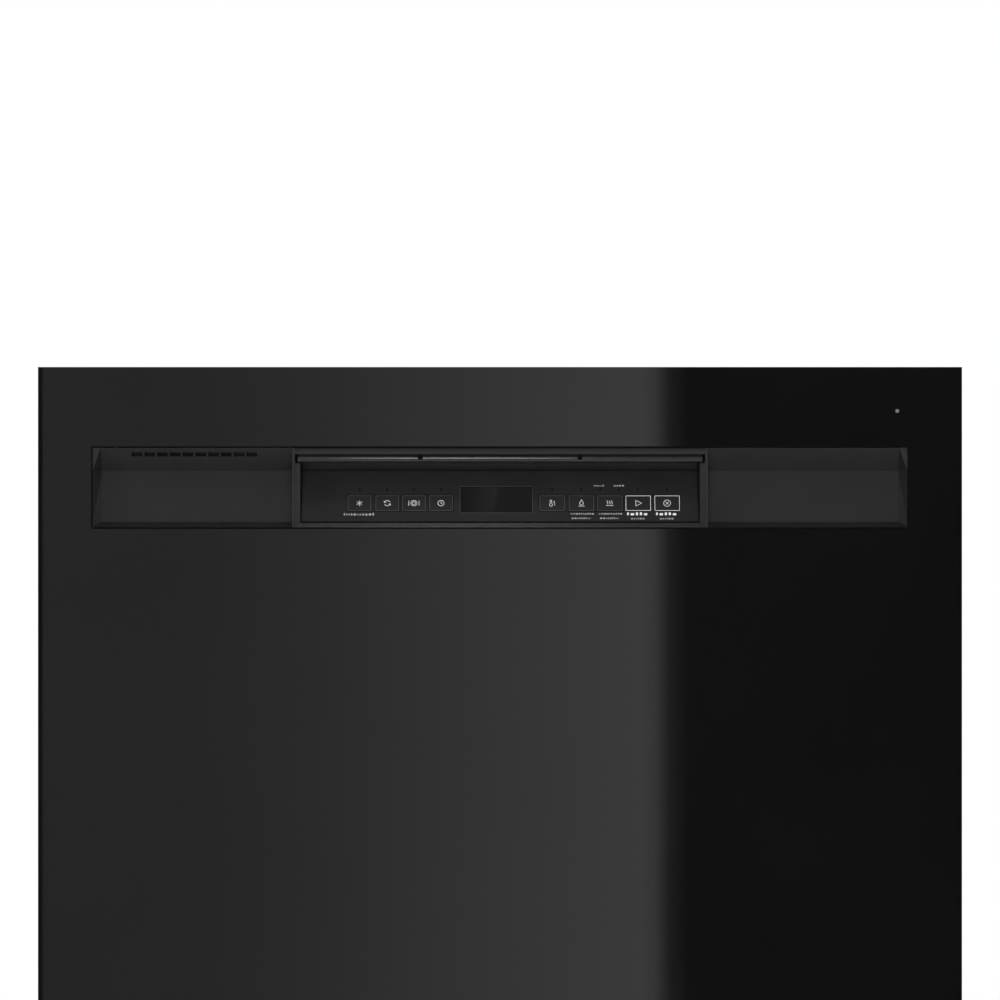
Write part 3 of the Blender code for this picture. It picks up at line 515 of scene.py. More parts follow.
def loft(bm, rings, wrap=False):
    """Join rings of points into a closed skin, with the last ring back to the first or both capped."""
    loops = [[bm.verts.new(point) for point in ring] for ring in rings]
    count = len(loops[0])
    pairs = list(zip(loops, loops[1:])) + ([(loops[-1], loops[0])] if wrap else [])
    for a, b in pairs:
        for i in range(count):
            j = (i + 1) % count
            bm.faces.new((a[i], a[j], b[j], b[i]))
    if not wrap:
        bm.faces.new(loops[0][::-1])
        bm.faces.new(loops[-1])


def slab(bm, outline, place, height, start=0.0):
    """A closed slab: the outline's (u, v) at w start and at w height, set in space by place."""
    loft(bm, [[place @ Vector((u, v, w)) for u, v in outline] for w in (start, height)])


def pad(bm, size, radius, place, height, slope, centre=(0.0, 0.0)):
    """A pressed or moulded raised field: a rounded rectangle whose sides curve in to a flat top."""
    rings = []
    for share, lift in ((0.0, 0.0), (0.10, 0.55), (0.40, 0.90), (1.0, 1.0)):
        inset = slope * share
        corner = max(radius - inset, radius * 0.2)
        outline = rounded(size[0] - 2 * inset, size[1] - 2 * inset, corner, centre)
        rings.append([place @ Vector((u, v, height * lift)) for u, v in outline])
    loft(bm, rings)


def sweep(bm, path, closed, profile, place):
    """Carry a profile of (offset, height) points along a flat path, mitred at its corners."""
    rings = []
    for i, point in enumerate(path):
        here = Vector(point)
        runs = []
        if closed or i > 0:
            runs.append((here - Vector(path[i - 1])).normalized())
        if closed or i < len(path) - 1:
            runs.append((Vector(path[(i + 1) % len(path)]) - here).normalized())
        mean = sum(runs, Vector((0.0, 0.0))).normalized()
        side = Vector((-mean.y, mean.x)) / max(0.5, mean.dot(runs[0]))
        rings.append([place @ Vector((*(here + side * offset), height)) for offset, height in profile])
    loft(bm, rings, closed)


def lathe(bm, profile, place, sides=32):
    """Spin (radius, along) points about the w axis of place; radius 0 closes an end."""
    rings = []
    for radius, along in profile:
        ring = [(0.0, 0.0)] if radius < 1e-7 else circle(radius, sides)
        rings.append([bm.verts.new(place @ Vector((u, v, along))) for u, v in ring])
    for a, b in zip(rings, rings[1:]):
        for i in range(sides):
            j = (i + 1) % sides
            corners = list(dict.fromkeys([a[i % len(a)], a[j % len(a)], b[j % len(b)], b[i % len(b)]]))
            if len(corners) > 2:
                bm.faces.new(corners)
    if profile[0] == profile[-1]:
        bmesh.ops.remove_doubles(bm, verts=rings[0] + rings[-1], dist=1e-6)


def bent(points, radius, closed=False, steps=4):
    """Round a polyline's corners, as a wire or a sheet is bent."""
    corners = [Vector(point) for point in points]
    path = [] if closed else [corners[0]]
    for i in range(len(corners)) if closed else range(1, len(corners) - 1):
        corner, before, after = corners[i], corners[i - 1], corners[(i + 1) % len(corners)]
        start = corner + (before - corner).normalized() * radius
        end = corner + (after - corner).normalized() * radius
        for step in range(steps + 1):
            t = step / steps
            path.append(start * (1 - t) ** 2 + corner * 2 * t * (1 - t) + end * t ** 2)
    return path if closed else path + [corners[-1]]


def circle(radius, count, centre=(0.0, 0.0), start=0.0, sweep=2 * math.pi):
    """Points round a circle; a whole turn leaves out the repeated last point."""
    whole = abs(sweep - 2 * math.pi) < 1e-6
    steps = count if whole else count - 1
    angles = [start + sweep * i / steps for i in range(count)]
    return [(centre[0] + radius * math.cos(a), centre[1] + radius * math.sin(a)) for a in angles]


def rounded(width, height, radius, centre=(0.0, 0.0), steps=4):
    """A rectangle with round corners, as (u, v) points."""
    points = []
    for quarter, (su, sv) in enumerate(((1, 1), (-1, 1), (-1, -1), (1, -1))):
        middle = (centre[0] + su * (width / 2 - radius), centre[1] + sv * (height / 2 - radius))
        points += circle(radius, steps + 1, middle, math.pi / 2 * quarter, math.pi / 2)
    return points


def strip(left, right, near, far):
    """A plain rectangle, as (u, v) points."""
    return ((left, near), (right, near), (right, far), (left, far))


def spread(start, end, pitch):
    """Even places from start to end, about a pitch apart, with both ends."""
    steps = max(1, round((end - start) / pitch))
    return [start + (end - start) * i / steps for i in range(steps + 1)]


def frame_at(origin, across, up=(0, 0, 1)):
    """A placing matrix: u runs across, v runs up, w stands out of the plane."""
    u, v = Vector(across).normalized(), Vector(up).normalized()
    columns = Matrix((u, v, u.cross(v))).transposed().to_4x4()
    return Matrix.Translation(origin) @ columns


def facing_front(x, y, z):
    return frame_at((x, y, z), (1, 0, 0))


def facing_back(x, y, z):
    return frame_at((x, y, z), (-1, 0, 0))


def facing_side(side, x, y, z):
    return frame_at((x, y, z), (0, side, 0))


def moved(u, v, w=0.0):
    return Matrix.Translation((u, v, w))


def turned(angle):
    return Matrix.Rotation(angle, 4, "Z")


def box_of(node):
    """A CAD node's low and high corners and its centre."""
    low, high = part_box(node)
    return low, high, (low + high) / 2


# ---------------------------------------------------------------- console
STROKE = 0.00016
FAINT_STROKE = 0.00013
INK = 0.00004                   # the print's thickness
KEY_INK_LIFT = 0.00002          # print on a key stands proud of the keys' faces,
FASCIA_INK_LIFT = -0.00018      # and print on the fascia lies behind them, on the fascia's own face
KEY_THICK = 0.0024
KEY_DROP, KEY_TALL = 0.0893, 0.0107
LIGHT_DROP, WINDOW_DROP, WINDOW_TALL = 0.0803, 0.0869, 0.0165
BOLD_KEYS = ("key_start", "key_cancel")


def fascia_axes():
    """The fascia's outward normal and its way up, from the keys' joint."""
    joint = next(j for j in frame["joints"] if j["name"] == "key_auto_press")
    outward = -Vector(joint["axis"]).normalized()
    up = Vector((0.0, -outward.z, outward.y))
    return outward, up if up.z > 0 else -up


def print_frame(x, drop, proud):
    """Where print sits, at a drop from the door's top edge: u across, v up the fascia, w out of it."""
    outward, up = fascia_axes()
    _, _, centre = box_of("key_auto")
    face = Vector((0.0, centre.y, centre.z)) + outward * (KEY_THICK / 2)
    origin = face + up * ((TOP - drop - face.z) / up.z) + outward * proud
    origin.x = x
    return frame_at(origin, (1.0, 0.0, 0.0), up)


def strokes(name, place, paths, width, body, look):
    """Flat printed lines: thin raised ribbons that follow each path."""
    ribbon = ((-width, 0.0), (width, 0.0), (width, INK), (-width, INK))
    parts = [(sweep, points, closed, ribbon, place) for points, closed in paths]
    build(name, parts, body, NODE_SLOT.get(body, "console_black"), look)


def wave(x, low, high, swing=0.00028, steps=9):
    """A gently wavy upright line."""
    shares = [i / (steps - 1) for i in range(steps)]
    return [(x + swing * math.sin(share * 2 * math.pi), low + (high - low) * share) for share in shares]


def icon_boost():
    """A plain star of three crossed strokes."""
    arms = [Vector((math.cos(math.radians(a)), math.sin(math.radians(a)))) * 0.0021 for a in (90, 30, 150)]
    return [([tuple(-arm), tuple(arm)], False) for arm in arms]


def icon_auto():
    """Two arrows chasing round a circle."""
    paths = []
    for turn in (0.0, math.pi):
        arc = circle(0.0019, 10, start=turn + 0.35, sweep=2.3)
        out = Vector((math.cos(turn + 2.65), math.sin(turn + 2.65)))
        ahead = Vector((-out.y, out.x))
        tip, back = Vector(arc[-1]) + ahead * 0.0005, Vector(arc[-1]) - ahead * 0.0004
        arrow = [tuple(back + out * 0.0008), tuple(tip), tuple(back - out * 0.0008)]
        paths += [(arc, False), (arrow, False)]
    return paths


def icon_plate():
    """A plate seen from above, with a fork and a knife as plain bars."""
    bars = [([(x, -0.0018), (x, 0.0018)], False) for x in (-0.0034, 0.0034)]
    return [(circle(0.0020, 20), True), (circle(0.0011, 14), True)] + bars


def icon_quick():
    """A clock face with its hands."""
    return [(circle(0.0020, 20), True), ([(0.0, 0.0013), (0.0, 0.0), (0.0010, -0.0006)], False)]


def icon_heat():
    """A thermometer with its bulb, beside one rising line."""
    stem = [(-0.0014, -0.0004), (-0.0014, 0.0021), (-0.0004, 0.0021), (-0.0004, -0.0004)]
    bulb = circle(0.0010, 14, (-0.0009, -0.0012), start=math.radians(60), sweep=math.radians(-300))
    return [(stem, False), (bulb, False), (wave(0.0014, -0.0016, 0.0018), False)]


def icon_rinse():
    """One falling drop above a waterline."""
    drop = circle(0.0012, 14, (0.0, -0.0001), start=math.radians(150), sweep=math.radians(240))
    return [(drop + [(0.0, 0.0024)], True), ([(-0.0020, -0.0021), (0.0020, -0.0021)], False)]


def icon_dry():
    """Warm air rising from a bar."""
    bar = ([(-0.0023, -0.0017), (0.0023, -0.0017)], False)
    return [(wave(x, -0.0008, 0.0019), False) for x in (-0.0015, 0.0, 0.0015)] + [bar]


def icon_start():
    return [([(-0.0016, -0.0020), (-0.0016, 0.0020), (0.0022, 0.0)], True)]


def icon_cancel():
    arms = [([(-0.0010, -0.0010 * s), (0.0010, 0.0010 * s)], False) for s in (1, -1)]
    return [(circle(0.0023, 24), True)] + arms


ICONS = {
    "key_boost": icon_boost, "key_auto": icon_auto, "key_normal": icon_plate, "key_quick": icon_quick,
    "key_high_temp": icon_heat, "key_rinse": icon_rinse, "key_dry": icon_dry, "key_start": icon_start,
    "key_cancel": icon_cancel,
}


def key_print(name, icon):
    """A key's outline and pictogram, which travel with the key."""
    low, high, centre = box_of(name)
    _, up = fascia_axes()
    place = print_frame(centre.x, KEY_DROP, KEY_INK_LIFT)
    outline = [(rounded(high.x - low.x - 0.0012, KEY_TALL / up.z - 0.0012, 0.0004), True)]
    width, look = (STROKE, "ink_white") if name in BOLD_KEYS else (FAINT_STROKE, "ink_grey")
    strokes(name + "_outline", place, outline, width, name, look)
    strokes(name + "_pictogram", place, icon(), STROKE, name, "ink_white")


def blocks(rows, seed):
    """Rows of plain blocks that stand where small print would; a row is (v, height, width, step)."""
    dice = random.Random(seed)
    outlines = []
    for v, height, width, step in rows:
        left = -width / 2
        while left < width / 2 - step * 0.4:
            size = step * dice.choice((0.45, 0.60, 0.95))
            tall = height * dice.choice((0.72, 0.86, 1.0))
            middle = (left + size / 2, v - (height - tall) / 2)
            outlines.append(rounded(size, tall, height * 0.22, middle, 1))
            left += size + step * 0.40
    return outlines


def labels():
    """Small plain blocks on the fascia in the place of each label: name, place, drop, ink, seed and rows."""
    two_rows = [(0.0017, 0.0013, 0.0145, 0.0014), (-0.0015, 0.0013, 0.0130, 0.0014)]
    bold = [(-0.0002, 0.0023, 0.0148, 0.0026)]
    second = [(0.0, 0.0013, 0.0098, 0.0014)]
    for name, x, drop, ink, seed, rows in (
        ("boost", -0.0924, 0.0965, "ink_soft", 1, [(0.0, 0.0019, 0.0205, 0.0018)]),
        ("rinse", 0.0536, 0.0977, "ink_soft", 2, two_rows),
        ("dry", 0.0722, 0.0977, "ink_soft", 2, two_rows),
        ("start", 0.0909, 0.0960, "ink_white", 3, bold),
        ("start_second", 0.0909, 0.0993, "ink_soft", 6, second),
        ("cancel", 0.1099, 0.0960, "ink_white", 3, bold),
        ("cancel_second", 0.1099, 0.0993, "ink_soft", 6, second),
        ("short", 0.0655, 0.0777, "ink_soft", 4, [(0.0, 0.0012, 0.0075, 0.00135)]),
        ("long", 0.0785, 0.0777, "ink_soft", 5, [(0.0, 0.0012, 0.0072, 0.00135)]),
    ):
        place = print_frame(x, drop, FASCIA_INK_LIFT)
        parts = [(slab, outline, place, INK) for outline in blocks(rows, seed)]
        build("label_" + name, parts, "door", "console_black", ink)


def indicator_lights():
    """The unlit indicator windows above the keys, each a small domed lens of its own."""
    lens = [(0.0, 0.0), (0.00085, 0.0), (0.00080, 0.00008), (0.00045, 0.00016), (0.0, 0.00018)]
    spots = (-0.0924, -0.0741, -0.0566, -0.0388, 0.0344, 0.0536, 0.0660, 0.0782, 0.0909, 0.1099)
    for i, x in enumerate(spots):
        place = print_frame(x, LIGHT_DROP, FASCIA_INK_LIFT)
        build(f"indicator_{i + 1}", [(lathe, lens, place, 20)], "door", "window_smoke")


def window_rim():
    """A thin raised line round the display window."""
    low, high, centre = box_of("display_window")
    _, up = fascia_axes()
    path = rounded(high.x - low.x + 0.0010, WINDOW_TALL / up.z + 0.0010, 0.0005)
    place = print_frame(centre.x, WINDOW_DROP, FASCIA_INK_LIFT)
    strokes("window_rim", place, [(path, True)], 0.00012, "door", "ink_grey")


# The grip's section: points are (depth behind the door's front, drop from its top)
LIP_BAND = (
    (0.0060, 0.0527), (0.0024, 0.0527), (0.0019, 0.0531), (0.0017, 0.0540),
    (0.0016, 0.0552), (0.0016, 0.0564), (0.0017, 0.0571), (0.0060, 0.0572),
)
LIP_STRIP = (
    (0.0094, 0.0575), (0.0040, 0.0575), (0.0030, 0.0577), (0.0014, 0.0601), (0.0011, 0.0606),
    (0.0011, 0.0612), (0.0015, 0.0619), (0.0030, 0.0624), (0.0070, 0.0626), (0.0094, 0.0602),
)
BAND_HALF, STRIP_HALF, STRIP_END = 0.1362, 0.1328, 0.1176


def lip_piece(name, section, spans, shift, look):
    """Lengths of the grip's section, shifted forwards from the door's front."""
    place = frame_at((0.0, FRONT - shift, TOP), (0, 1, 0))
    outline = [(depth, -drop) for depth, drop in section]
    parts = [(slab, outline, place, end, start) for start, end in spans]
    return build(name, parts, "door", "console_black", look, 50)


def grip():
    """The handle's rounded top band, the finger strip under it with its thicker ends, and two screws."""
    band = lip_piece("handle_band", LIP_BAND, [(-BAND_HALF, BAND_HALF)], 0.0, "console_black")
    finger_strip = lip_piece("handle_strip", LIP_STRIP, [(-STRIP_HALF, STRIP_HALF)], 0.0, "lip_black")
    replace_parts(band, "handle_grip")
    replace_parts(finger_strip, "handle_grip")
    ends = [(-STRIP_HALF, -STRIP_END), (STRIP_END, STRIP_HALF)]
    lip_piece("handle_strip_ends", LIP_STRIP[1:-2], ends, 0.0004, "lip_black")
    head = [(0.0, -0.0020), (0.0016, -0.0020), (0.0016, 0.0), (0.0012, 0.0005), (0.0, 0.0006)]
    slot = rounded(0.0024, 0.0005, 0.0001, steps=1)
    for i, x in enumerate((-0.0524, 0.0524)):
        place = facing_front(x, FRONT + 0.0012, TOP - 0.0594)
        parts = [(lathe, head, place, 20), (slab, slot, place @ turned(0.6), 0.0008, 0.0004)]
        build(f"grip_screw_{i + 1}", parts, "door", "window_smoke", "shadow_line_and_screw_black")


def painted_shadow_line():
    """A near-black strip round the housing in the door's cut-out: painted shadow, standing where the narrow gap
    lies in shade.
    """
    low, high, centre = box_of("console_housing")
    path = rounded(high.x - low.x + 0.0014, high.z - low.z + 0.0014, 0.0010)
    line = ((-0.00032, 0.0), (0.00032, 0.0), (0.0, 0.00012))
    # near-black ribbon: painted shadow of the gap round the housing
    place = facing_front(0.0, FRONT, centre.z)
    build("painted_shadow_line", [(sweep, path, True, line, place)], "door", "console_black", "shadow_line_and_screw_black")


def console():
    for name, icon in ICONS.items():
        soften(name, 0.00025)
        key_print(name, icon)
    labels()
    indicator_lights()
    window_rim()
    grip()
    painted_shadow_line()
    soften("console_housing", 0.0006, 2, 20)
    soften("control_fascia", 0.00015, 1)
    soften("door_panel", 0.0007, 3)


def status_light():
    """The small status light's lens, in the door's top right corner."""
    lens = [(0.0, -0.004), (0.0013, -0.004), (0.0013, 0.0), (0.0009, 0.0003), (0.0, 0.0004)]
    place = facing_front(0.2606, FRONT + 0.0005, TOP - 0.0288)
    build("status_lens", [(lathe, lens, place, 20)], "door", "window_smoke", "lens_clear")


def control_board():
    """Chips, capacitors, a relay and the two flat connectors on the board inside the door."""
    _, high, centre = box_of("control_board")
    place = facing_back(0.0, high.y, centre.z)
    chips = (
        (-0.080, 0.006, 0.016, 0.016, 0.002), (0.010, -0.008, 0.020, 0.008, 0.002),
        (0.060, 0.008, 0.019, 0.015, 0.003), (0.100, 0.0, 0.012, 0.030, 0.003),
    )
    can = [(0.0, 0.0), (0.0032, 0.0), (0.0032, 0.0026), (0.0028, 0.0030), (0.0, 0.0030)]
    parts = [(pad, (wide, high), 0.0008, place, tall, 0.0004, (u, v)) for u, v, wide, high, tall in chips]
    parts += [(lathe, can, place @ moved(u, -0.010), 20) for u in (-0.110, -0.100, 0.036)]
    build("board_components", parts, "door", "dark_plastic")


# ---------------------------------------------------------------- racks
RACK_BAR = 0.0045
WIRE_R, RIM_R = 0.0016, 0.0026
WIRE_PITCH = 0.0265
LOWER_HALF, LOWER_FLOOR = 0.246, 0.215
UPPER_HALF, UPPER_FLOOR = 0.244, 0.545
CORNER = 0.030
BEND = 0.018
CLIP_Z = 0.212


def upright(x, y, low, tip):
    """A wire that stands up and ends in a rounded tip."""
    points = [(x, y, z) for z in (low, tip - 0.0030, tip - 0.0008, tip)]
    return points, False, (1.0, 1.15, 0.95, 0.30)


def wire_basket(node, half, floor):
    """The welded wires of a rack: U-bent wires both ways inside three rims. Returns the rack's far edge."""
    low, high, _ = box_of(node)
    near, far, top = low.y + RACK_BAR / 2, high.y - RACK_BAR / 2, high.z - RACK_BAR / 2
    inset = (RIM_R + WIRE_R) * 0.95
    paths = []
    x, z = half - inset, floor + WIRE_R * 0.9
    for y in spread(near + CORNER, far - CORNER, WIRE_PITCH):
        paths.append((bent([(-x, y, top), (-x, y, z), (x, y, z), (x, y, top)], BEND), False))
    start, end, z = near + inset, far - inset, floor - WIRE_R * 0.9
    for x in spread(-half + CORNER, half - CORNER, WIRE_PITCH):
        paths.append((bent([(x, start, top), (x, start, z), (x, end, z), (x, end, top)], BEND), False))
    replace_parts(wires(node + "_wires", paths, WIRE_R, node, "rack_nylon"), node)
    rims = []
    for z in (top, top - (top - floor) * 0.30, floor + (top - floor) * 0.34):
        corners = [(-half, near, z), (half, near, z), (half, far, z), (-half, far, z)]
        rims.append((bent(corners, CORNER, True, 6), True))
    wires(node + "_rims", rims, RIM_R, node, "rack_nylon")
    rack_handle(node, near - RIM_R, top - 0.006)
    return far


def rack_handle(node, y, z):
    """A moulded pull clipped over the front rim, with a finger ledge under it."""
    place = facing_front(0.0, y, z)
    ledge = (pad, (0.150, 0.007), 0.003, place, 0.0095, 0.002, (0.0, -0.006))
    build(node + "_handle", [(pad, (0.190, 0.024), 0.010, place, 0.0065, 0.005), ledge], node, "grey_plastic")


def lower_rack():
    wire_basket("lower_rack", LOWER_HALF, LOWER_FLOOR)
    for node in [name for name in NODES if name.startswith("rack_wheel")]:
        low, high, middle = box_of(node)
        side = 1 if low.x > 0 else -1
        wheel_carrier(node, side, middle)
        rack_wheel(node, facing_side(side, *middle), (high.z - low.z) / 2, (high.x - low.x) / 2)


def wheel_carrier(wheel, side, middle):
    """The moulded clip that hangs a wheel on the rack's side, with its axle."""
    clip = facing_side(side, side * (LOWER_HALF + 0.0004), middle.y, CLIP_Z)
    axle = facing_side(side, side * (LOWER_HALF + 0.002), middle.y, middle.z)
    pin = [(0.0, 0.0), (0.0039, 0.0), (0.0039, 0.0196), (0.0030, 0.0202), (0.0, 0.0204)]
    parts = [
        (pad, (0.044, 0.052), 0.008, clip, 0.0042, 0.002, (0.0, 0.012)),
        (pad, (0.016, 0.050), 0.0078, clip, 0.0050, 0.001, (0.0, -0.0165)), (lathe, pin, axle, 20),
    ]
    build(wheel.replace("wheel", "wheel_carrier"), parts, "lower_rack", "grey_plastic")


def rack_wheel(node, place, radius, half):
    """A spoked wheel with a rounded tread."""
    hole, hub, web = 0.0046, 0.0074, radius - 0.0040
    profile = [
        (hole, -half), (radius - 0.0012, -half), (radius, -half + 0.0015), (radius, half - 0.0015),
        (radius - 0.0012, half), (web + 0.0008, half), (web, half - 0.0030),
        (hub, half - 0.0036), (hub - 0.0006, half),
        (hole, half), (hole, -half),
    ]
    inner, outer = hub - 0.0004, web + 0.0004
    spoke = ((inner, -0.0009), (outer, -0.0007), (outer, 0.0007), (inner, 0.0009))
    parts = [(lathe, profile, place, 40)]
    parts += [(slab, spoke, place @ turned(math.pi / 3 * i), half - 0.0008, half - 0.0042) for i in range(6)]
    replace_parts(build(node + "_tread", parts, node, "grey_plastic"), node)


def tine_row(x, start, end, bar_z, tip, teeth):
    pitch = (end - start) / teeth
    bar = ([(x, start, bar_z), (x, end, bar_z)], False)
    return [bar] + [upright(x, start + pitch * (i + 0.5), bar_z, tip) for i in range(teeth)]


def tine_rows():
    """Four rows of plate tines on their cross bars, and the row that folds."""
    low, high, _ = box_of("fixed_tines")
    bar_z = low.z + WIRE_R + 0.0003
    rows = [(x, high.y, 11) for x in (low.x + 0.002, -0.120, -0.050)] + [(high.x - 0.002, 0.06, 7)]
    paths = [([(rows[0][0], y, bar_z), (rows[-1][0], y, bar_z)], False) for y in (-0.196, 0.048)]
    for x, end, teeth in rows:
        paths += tine_row(x, low.y, end, bar_z, high.z, teeth)
    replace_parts(wires("fixed_tines_wires", paths, WIRE_R, "lower_rack", "rack_nylon"), "fixed_tines")
    low, high, centre = box_of("folding_tines")
    paths = tine_row(centre.x, low.y, high.y, low.z + 0.003, high.z, 7)
    fold = wires("folding_tines_wires", paths, WIRE_R * 1.05, "folding_tines", "rack_nylon")
    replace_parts(fold, "folding_tines")


def upper_rack():
    """The upper rack, the carriers on its sides, its arm's hanger and feed pipe, and its cup tines."""
    far = wire_basket("upper_rack", UPPER_HALF, UPPER_FLOOR)
    low, high, _ = box_of("upper_rack")
    _, _, slide = box_of("rack_slide_left")
    for side, hand in SIDES:
        place = facing_side(side, side * UPPER_HALF, -0.0075, slide.z)
        parts = [(pad, (0.414, 0.0108), 0.004, place, high.x - UPPER_HALF, 0.0010)]
        for y in (-0.190, 0.0, 0.190):
            parts.append((pad, (0.060, 0.058), 0.008, place, 0.0070, 0.0025, (y * side, 0.0)))
        build("upper_rack_carrier_" + hand, parts, "upper_rack", "grey_plastic")
    hub_low, hub_high, hub = box_of("middle_wash_arm")
    hanger = [
        (0.0, low.z), (0.0118, low.z), (0.0130, low.z + 0.0012), (0.0130, hub_low.z - 0.0008),
        (0.0078, hub_low.z - 0.0005), (0.0078, hub_high.z + 0.001), (0.0160, hub_high.z + 0.003),
        (0.0180, 0.5410), (0.0480, 0.5432), (0.0500, 0.5446),
        (0.0480, 0.5468), (0.0240, 0.5500), (0.0, 0.5510),
    ]
    build("wash_arm_hanger", [(lathe, hanger, moved(hub.x, hub.y), 40)], "upper_rack", "grey_plastic")
    run = (hub.y, 0.556), (far - 0.060, 0.556), (far - 0.010, 0.560), (far - 0.002, 0.560)
    feed_pipe = [(hub.x, y, z) for y, z in run]
    wires("rack_feed_pipe", [(bent(feed_pipe, 0.02), False)], 0.0095, "upper_rack", "grey_plastic", sides=6)
    paths = []
    for x in (-0.150, -0.070, 0.070, 0.150):
        paths += tine_row(x, -0.190, 0.215, UPPER_FLOOR + 0.0045, UPPER_FLOOR + 0.045, 9)
    wires("cup_tines", paths, WIRE_R, "upper_rack", "rack_nylon")


def cutlery_basket():
    """A slotted plastic basket: three bands, upright slats, barred floor, cell walls and a handle."""
    low, high, centre = box_of("cutlery_basket")
    low, high = low + Vector((0.001, 0.001, 0.0)), high - Vector((0.001, 0.001, 0.0))
    wall, corner = 0.0022, 0.012
    half_u, half_v = (high.x - low.x) / 2, (high.y - low.y) / 2
    place = moved(centre.x, centre.y)
    outer = rounded(2 * half_u, 2 * half_v, corner, steps=5)
    inner = rounded(2 * (half_u - wall), 2 * (half_v - wall), corner - wall, steps=5)
    parts = []
    bands = (low.z + 0.002, low.z + 0.010), (centre.z - 0.004, centre.z + 0.004), (high.z - 0.009, high.z)
    for start, end in bands:
        levels = ((outer, start), (outer, end), (inner, end), (inner, start))
        parts.append((loft, [[place @ Vector((u, v, w)) for u, v in ring] for ring, w in levels], True))
    slat = strip(-0.0016, 0.0016, -wall * 0.35, wall * 0.35)
    for turn, half, reach in ((0.0, half_u, half_v), (math.pi / 2, half_v, half_u)):
        for u in spread(corner - half, half - corner, 0.0085):
            for v in (wall / 2 - reach, reach - wall / 2):
                stand = place @ turned(turn) @ moved(u, v)
                parts.append((slab, slat, stand, high.z - 0.001, low.z + 0.003))
    inside_u, inside_v = half_u - wall, half_v - wall
    for u in spread(-inside_u, inside_u, 0.0105):
        bar = strip(u - 0.001, u + 0.001, -inside_v, inside_v)
        parts.append((slab, bar, place, low.z + 0.0050, low.z + 0.0026))
    for v in spread(-inside_v, inside_v, 0.0105):
        bar = strip(-inside_u, inside_u, v - 0.001, v + 0.001)
        parts.append((slab, bar, place, low.z + 0.0048, low.z + 0.0028))
    for u in (-half_u / 2, 0.0, half_u / 2):
        cell = strip(u - 0.0008, u + 0.0008, -inside_v, inside_v)
        parts.append((slab, cell, place, high.z - 0.022, low.z + 0.004))
    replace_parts(build("cutlery_basket_body", parts, "cutlery_basket", "grey_plastic"), "cutlery_basket")
    reach, foot, crest = half_u - 0.010, high.z - 0.006, high.z + 0.034
    corners = (-reach, foot), (-reach, crest), (reach, crest), (reach, foot)
    arch = [(centre.x + u, centre.y, z) for u, z in corners]
    wires("basket_handle", [(bent(arch, 0.026), False)], 0.0042, "cutlery_basket", "grey_plastic", sides=4)


# ---------------------------------------------------------------- the blanket and the seal
QUILT_GRID = 0.0095
QUILT_BORDER = 0.012
DENT_EDGE = 0.020
SEWN_SHARE = 0.26               # a quilt's thickness on its sewn lines, as a share of the whole
WRAP_THICK, BACK_THICK = 0.0088, 0.0116
STITCH_PITCH, STITCH_LENGTH, STITCH_R = 0.0125, 0.0080, 0.00045


def pressed_flat(point, dents):
    """How far a point lies inside the nearest dent's box, as 0 to 1 over the dent's edge."""
    depth = 0.0
    for low, high in dents:
        outside = max(0.0, low[0] - point[0], point[0] - high[0], low[1] - point[1], point[1] - high[1])
        if point[2] > low[2]:
            depth = max(depth, 1.0 - outside / DENT_EDGE)
    return depth


def quilt_lift(point, s, t, size, cells, thick, dents):
    """How far the quilt stands off: swelling between the sewn lines, rough, and thin at edges and dents."""
    across, along = math.sin(math.pi * s / size[0] * cells[0]), math.sin(math.pi * t / size[1] * cells[1])
    swell = abs(across * along) ** 0.45
    rough = noise.noise(Vector(point) * 26.0) * 0.10 + noise.noise(Vector(point) * 90.0) * 0.05
    edge = min(1.0, min(s, size[0] - s, t, size[1] - t) / QUILT_BORDER)
    lift = thick * (SEWN_SHARE + (0.62 * swell + rough * (0.4 + swell)) * edge)
    lift += (thick * 0.30 - lift) * pressed_flat(point, dents)
    return min(lift, thick * 0.97)


def quilt_skin(bm, surface, size, cells, thick, dents):
    """A closed quilt on a grid that lines up with its cells: flat inside, swelling outside."""
    columns, rows = (count * round(length / count / QUILT_GRID) for length, count in zip(size, cells))
    low, high = [], []
    for i in range(columns + 1):
        for j in range(rows + 1):
            s, t = size[0] * i / columns, size[1] * j / rows
            point, normal = surface(s, t)
            lift = quilt_lift(point, s, t, size, cells, thick, dents)
            low.append(bm.verts.new(Vector(point) + Vector(normal) * 0.0004))
            high.append(bm.verts.new(Vector(point) + Vector(normal) * lift))
    step = rows + 1
    for i in range(columns):
        for j in range(rows):
            a = i * step + j
            bm.faces.new((high[a], high[a + step], high[a + step + 1], high[a + 1]))
            bm.faces.new((low[a], low[a + 1], low[a + step + 1], low[a + step]))
    rim = [i * step for i in range(columns + 1)] + [columns * step + j for j in range(1, step)]
    rim += [i * step + rows for i in range(columns - 1, -1, -1)] + list(range(rows - 1, 0, -1))
    for a, b in zip(rim, rim[1:] + rim[:1]):
        bm.faces.new((low[a], low[b], high[b], high[a]))


def quilted(name, surface, size, cells, thick, dents=()):
    """A padded panel and its thread. surface(s, t) gives (point, normal)."""
    skin = (quilt_skin, surface, size, cells, thick, dents)
    piece = build(name, [skin], "cabinet", "blanket_felt", smooth_angle=60)
    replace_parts(piece, "insulation_blanket")
    stitches(name + "_stitches", surface, size, cells, thick * SEWN_SHARE, dents)


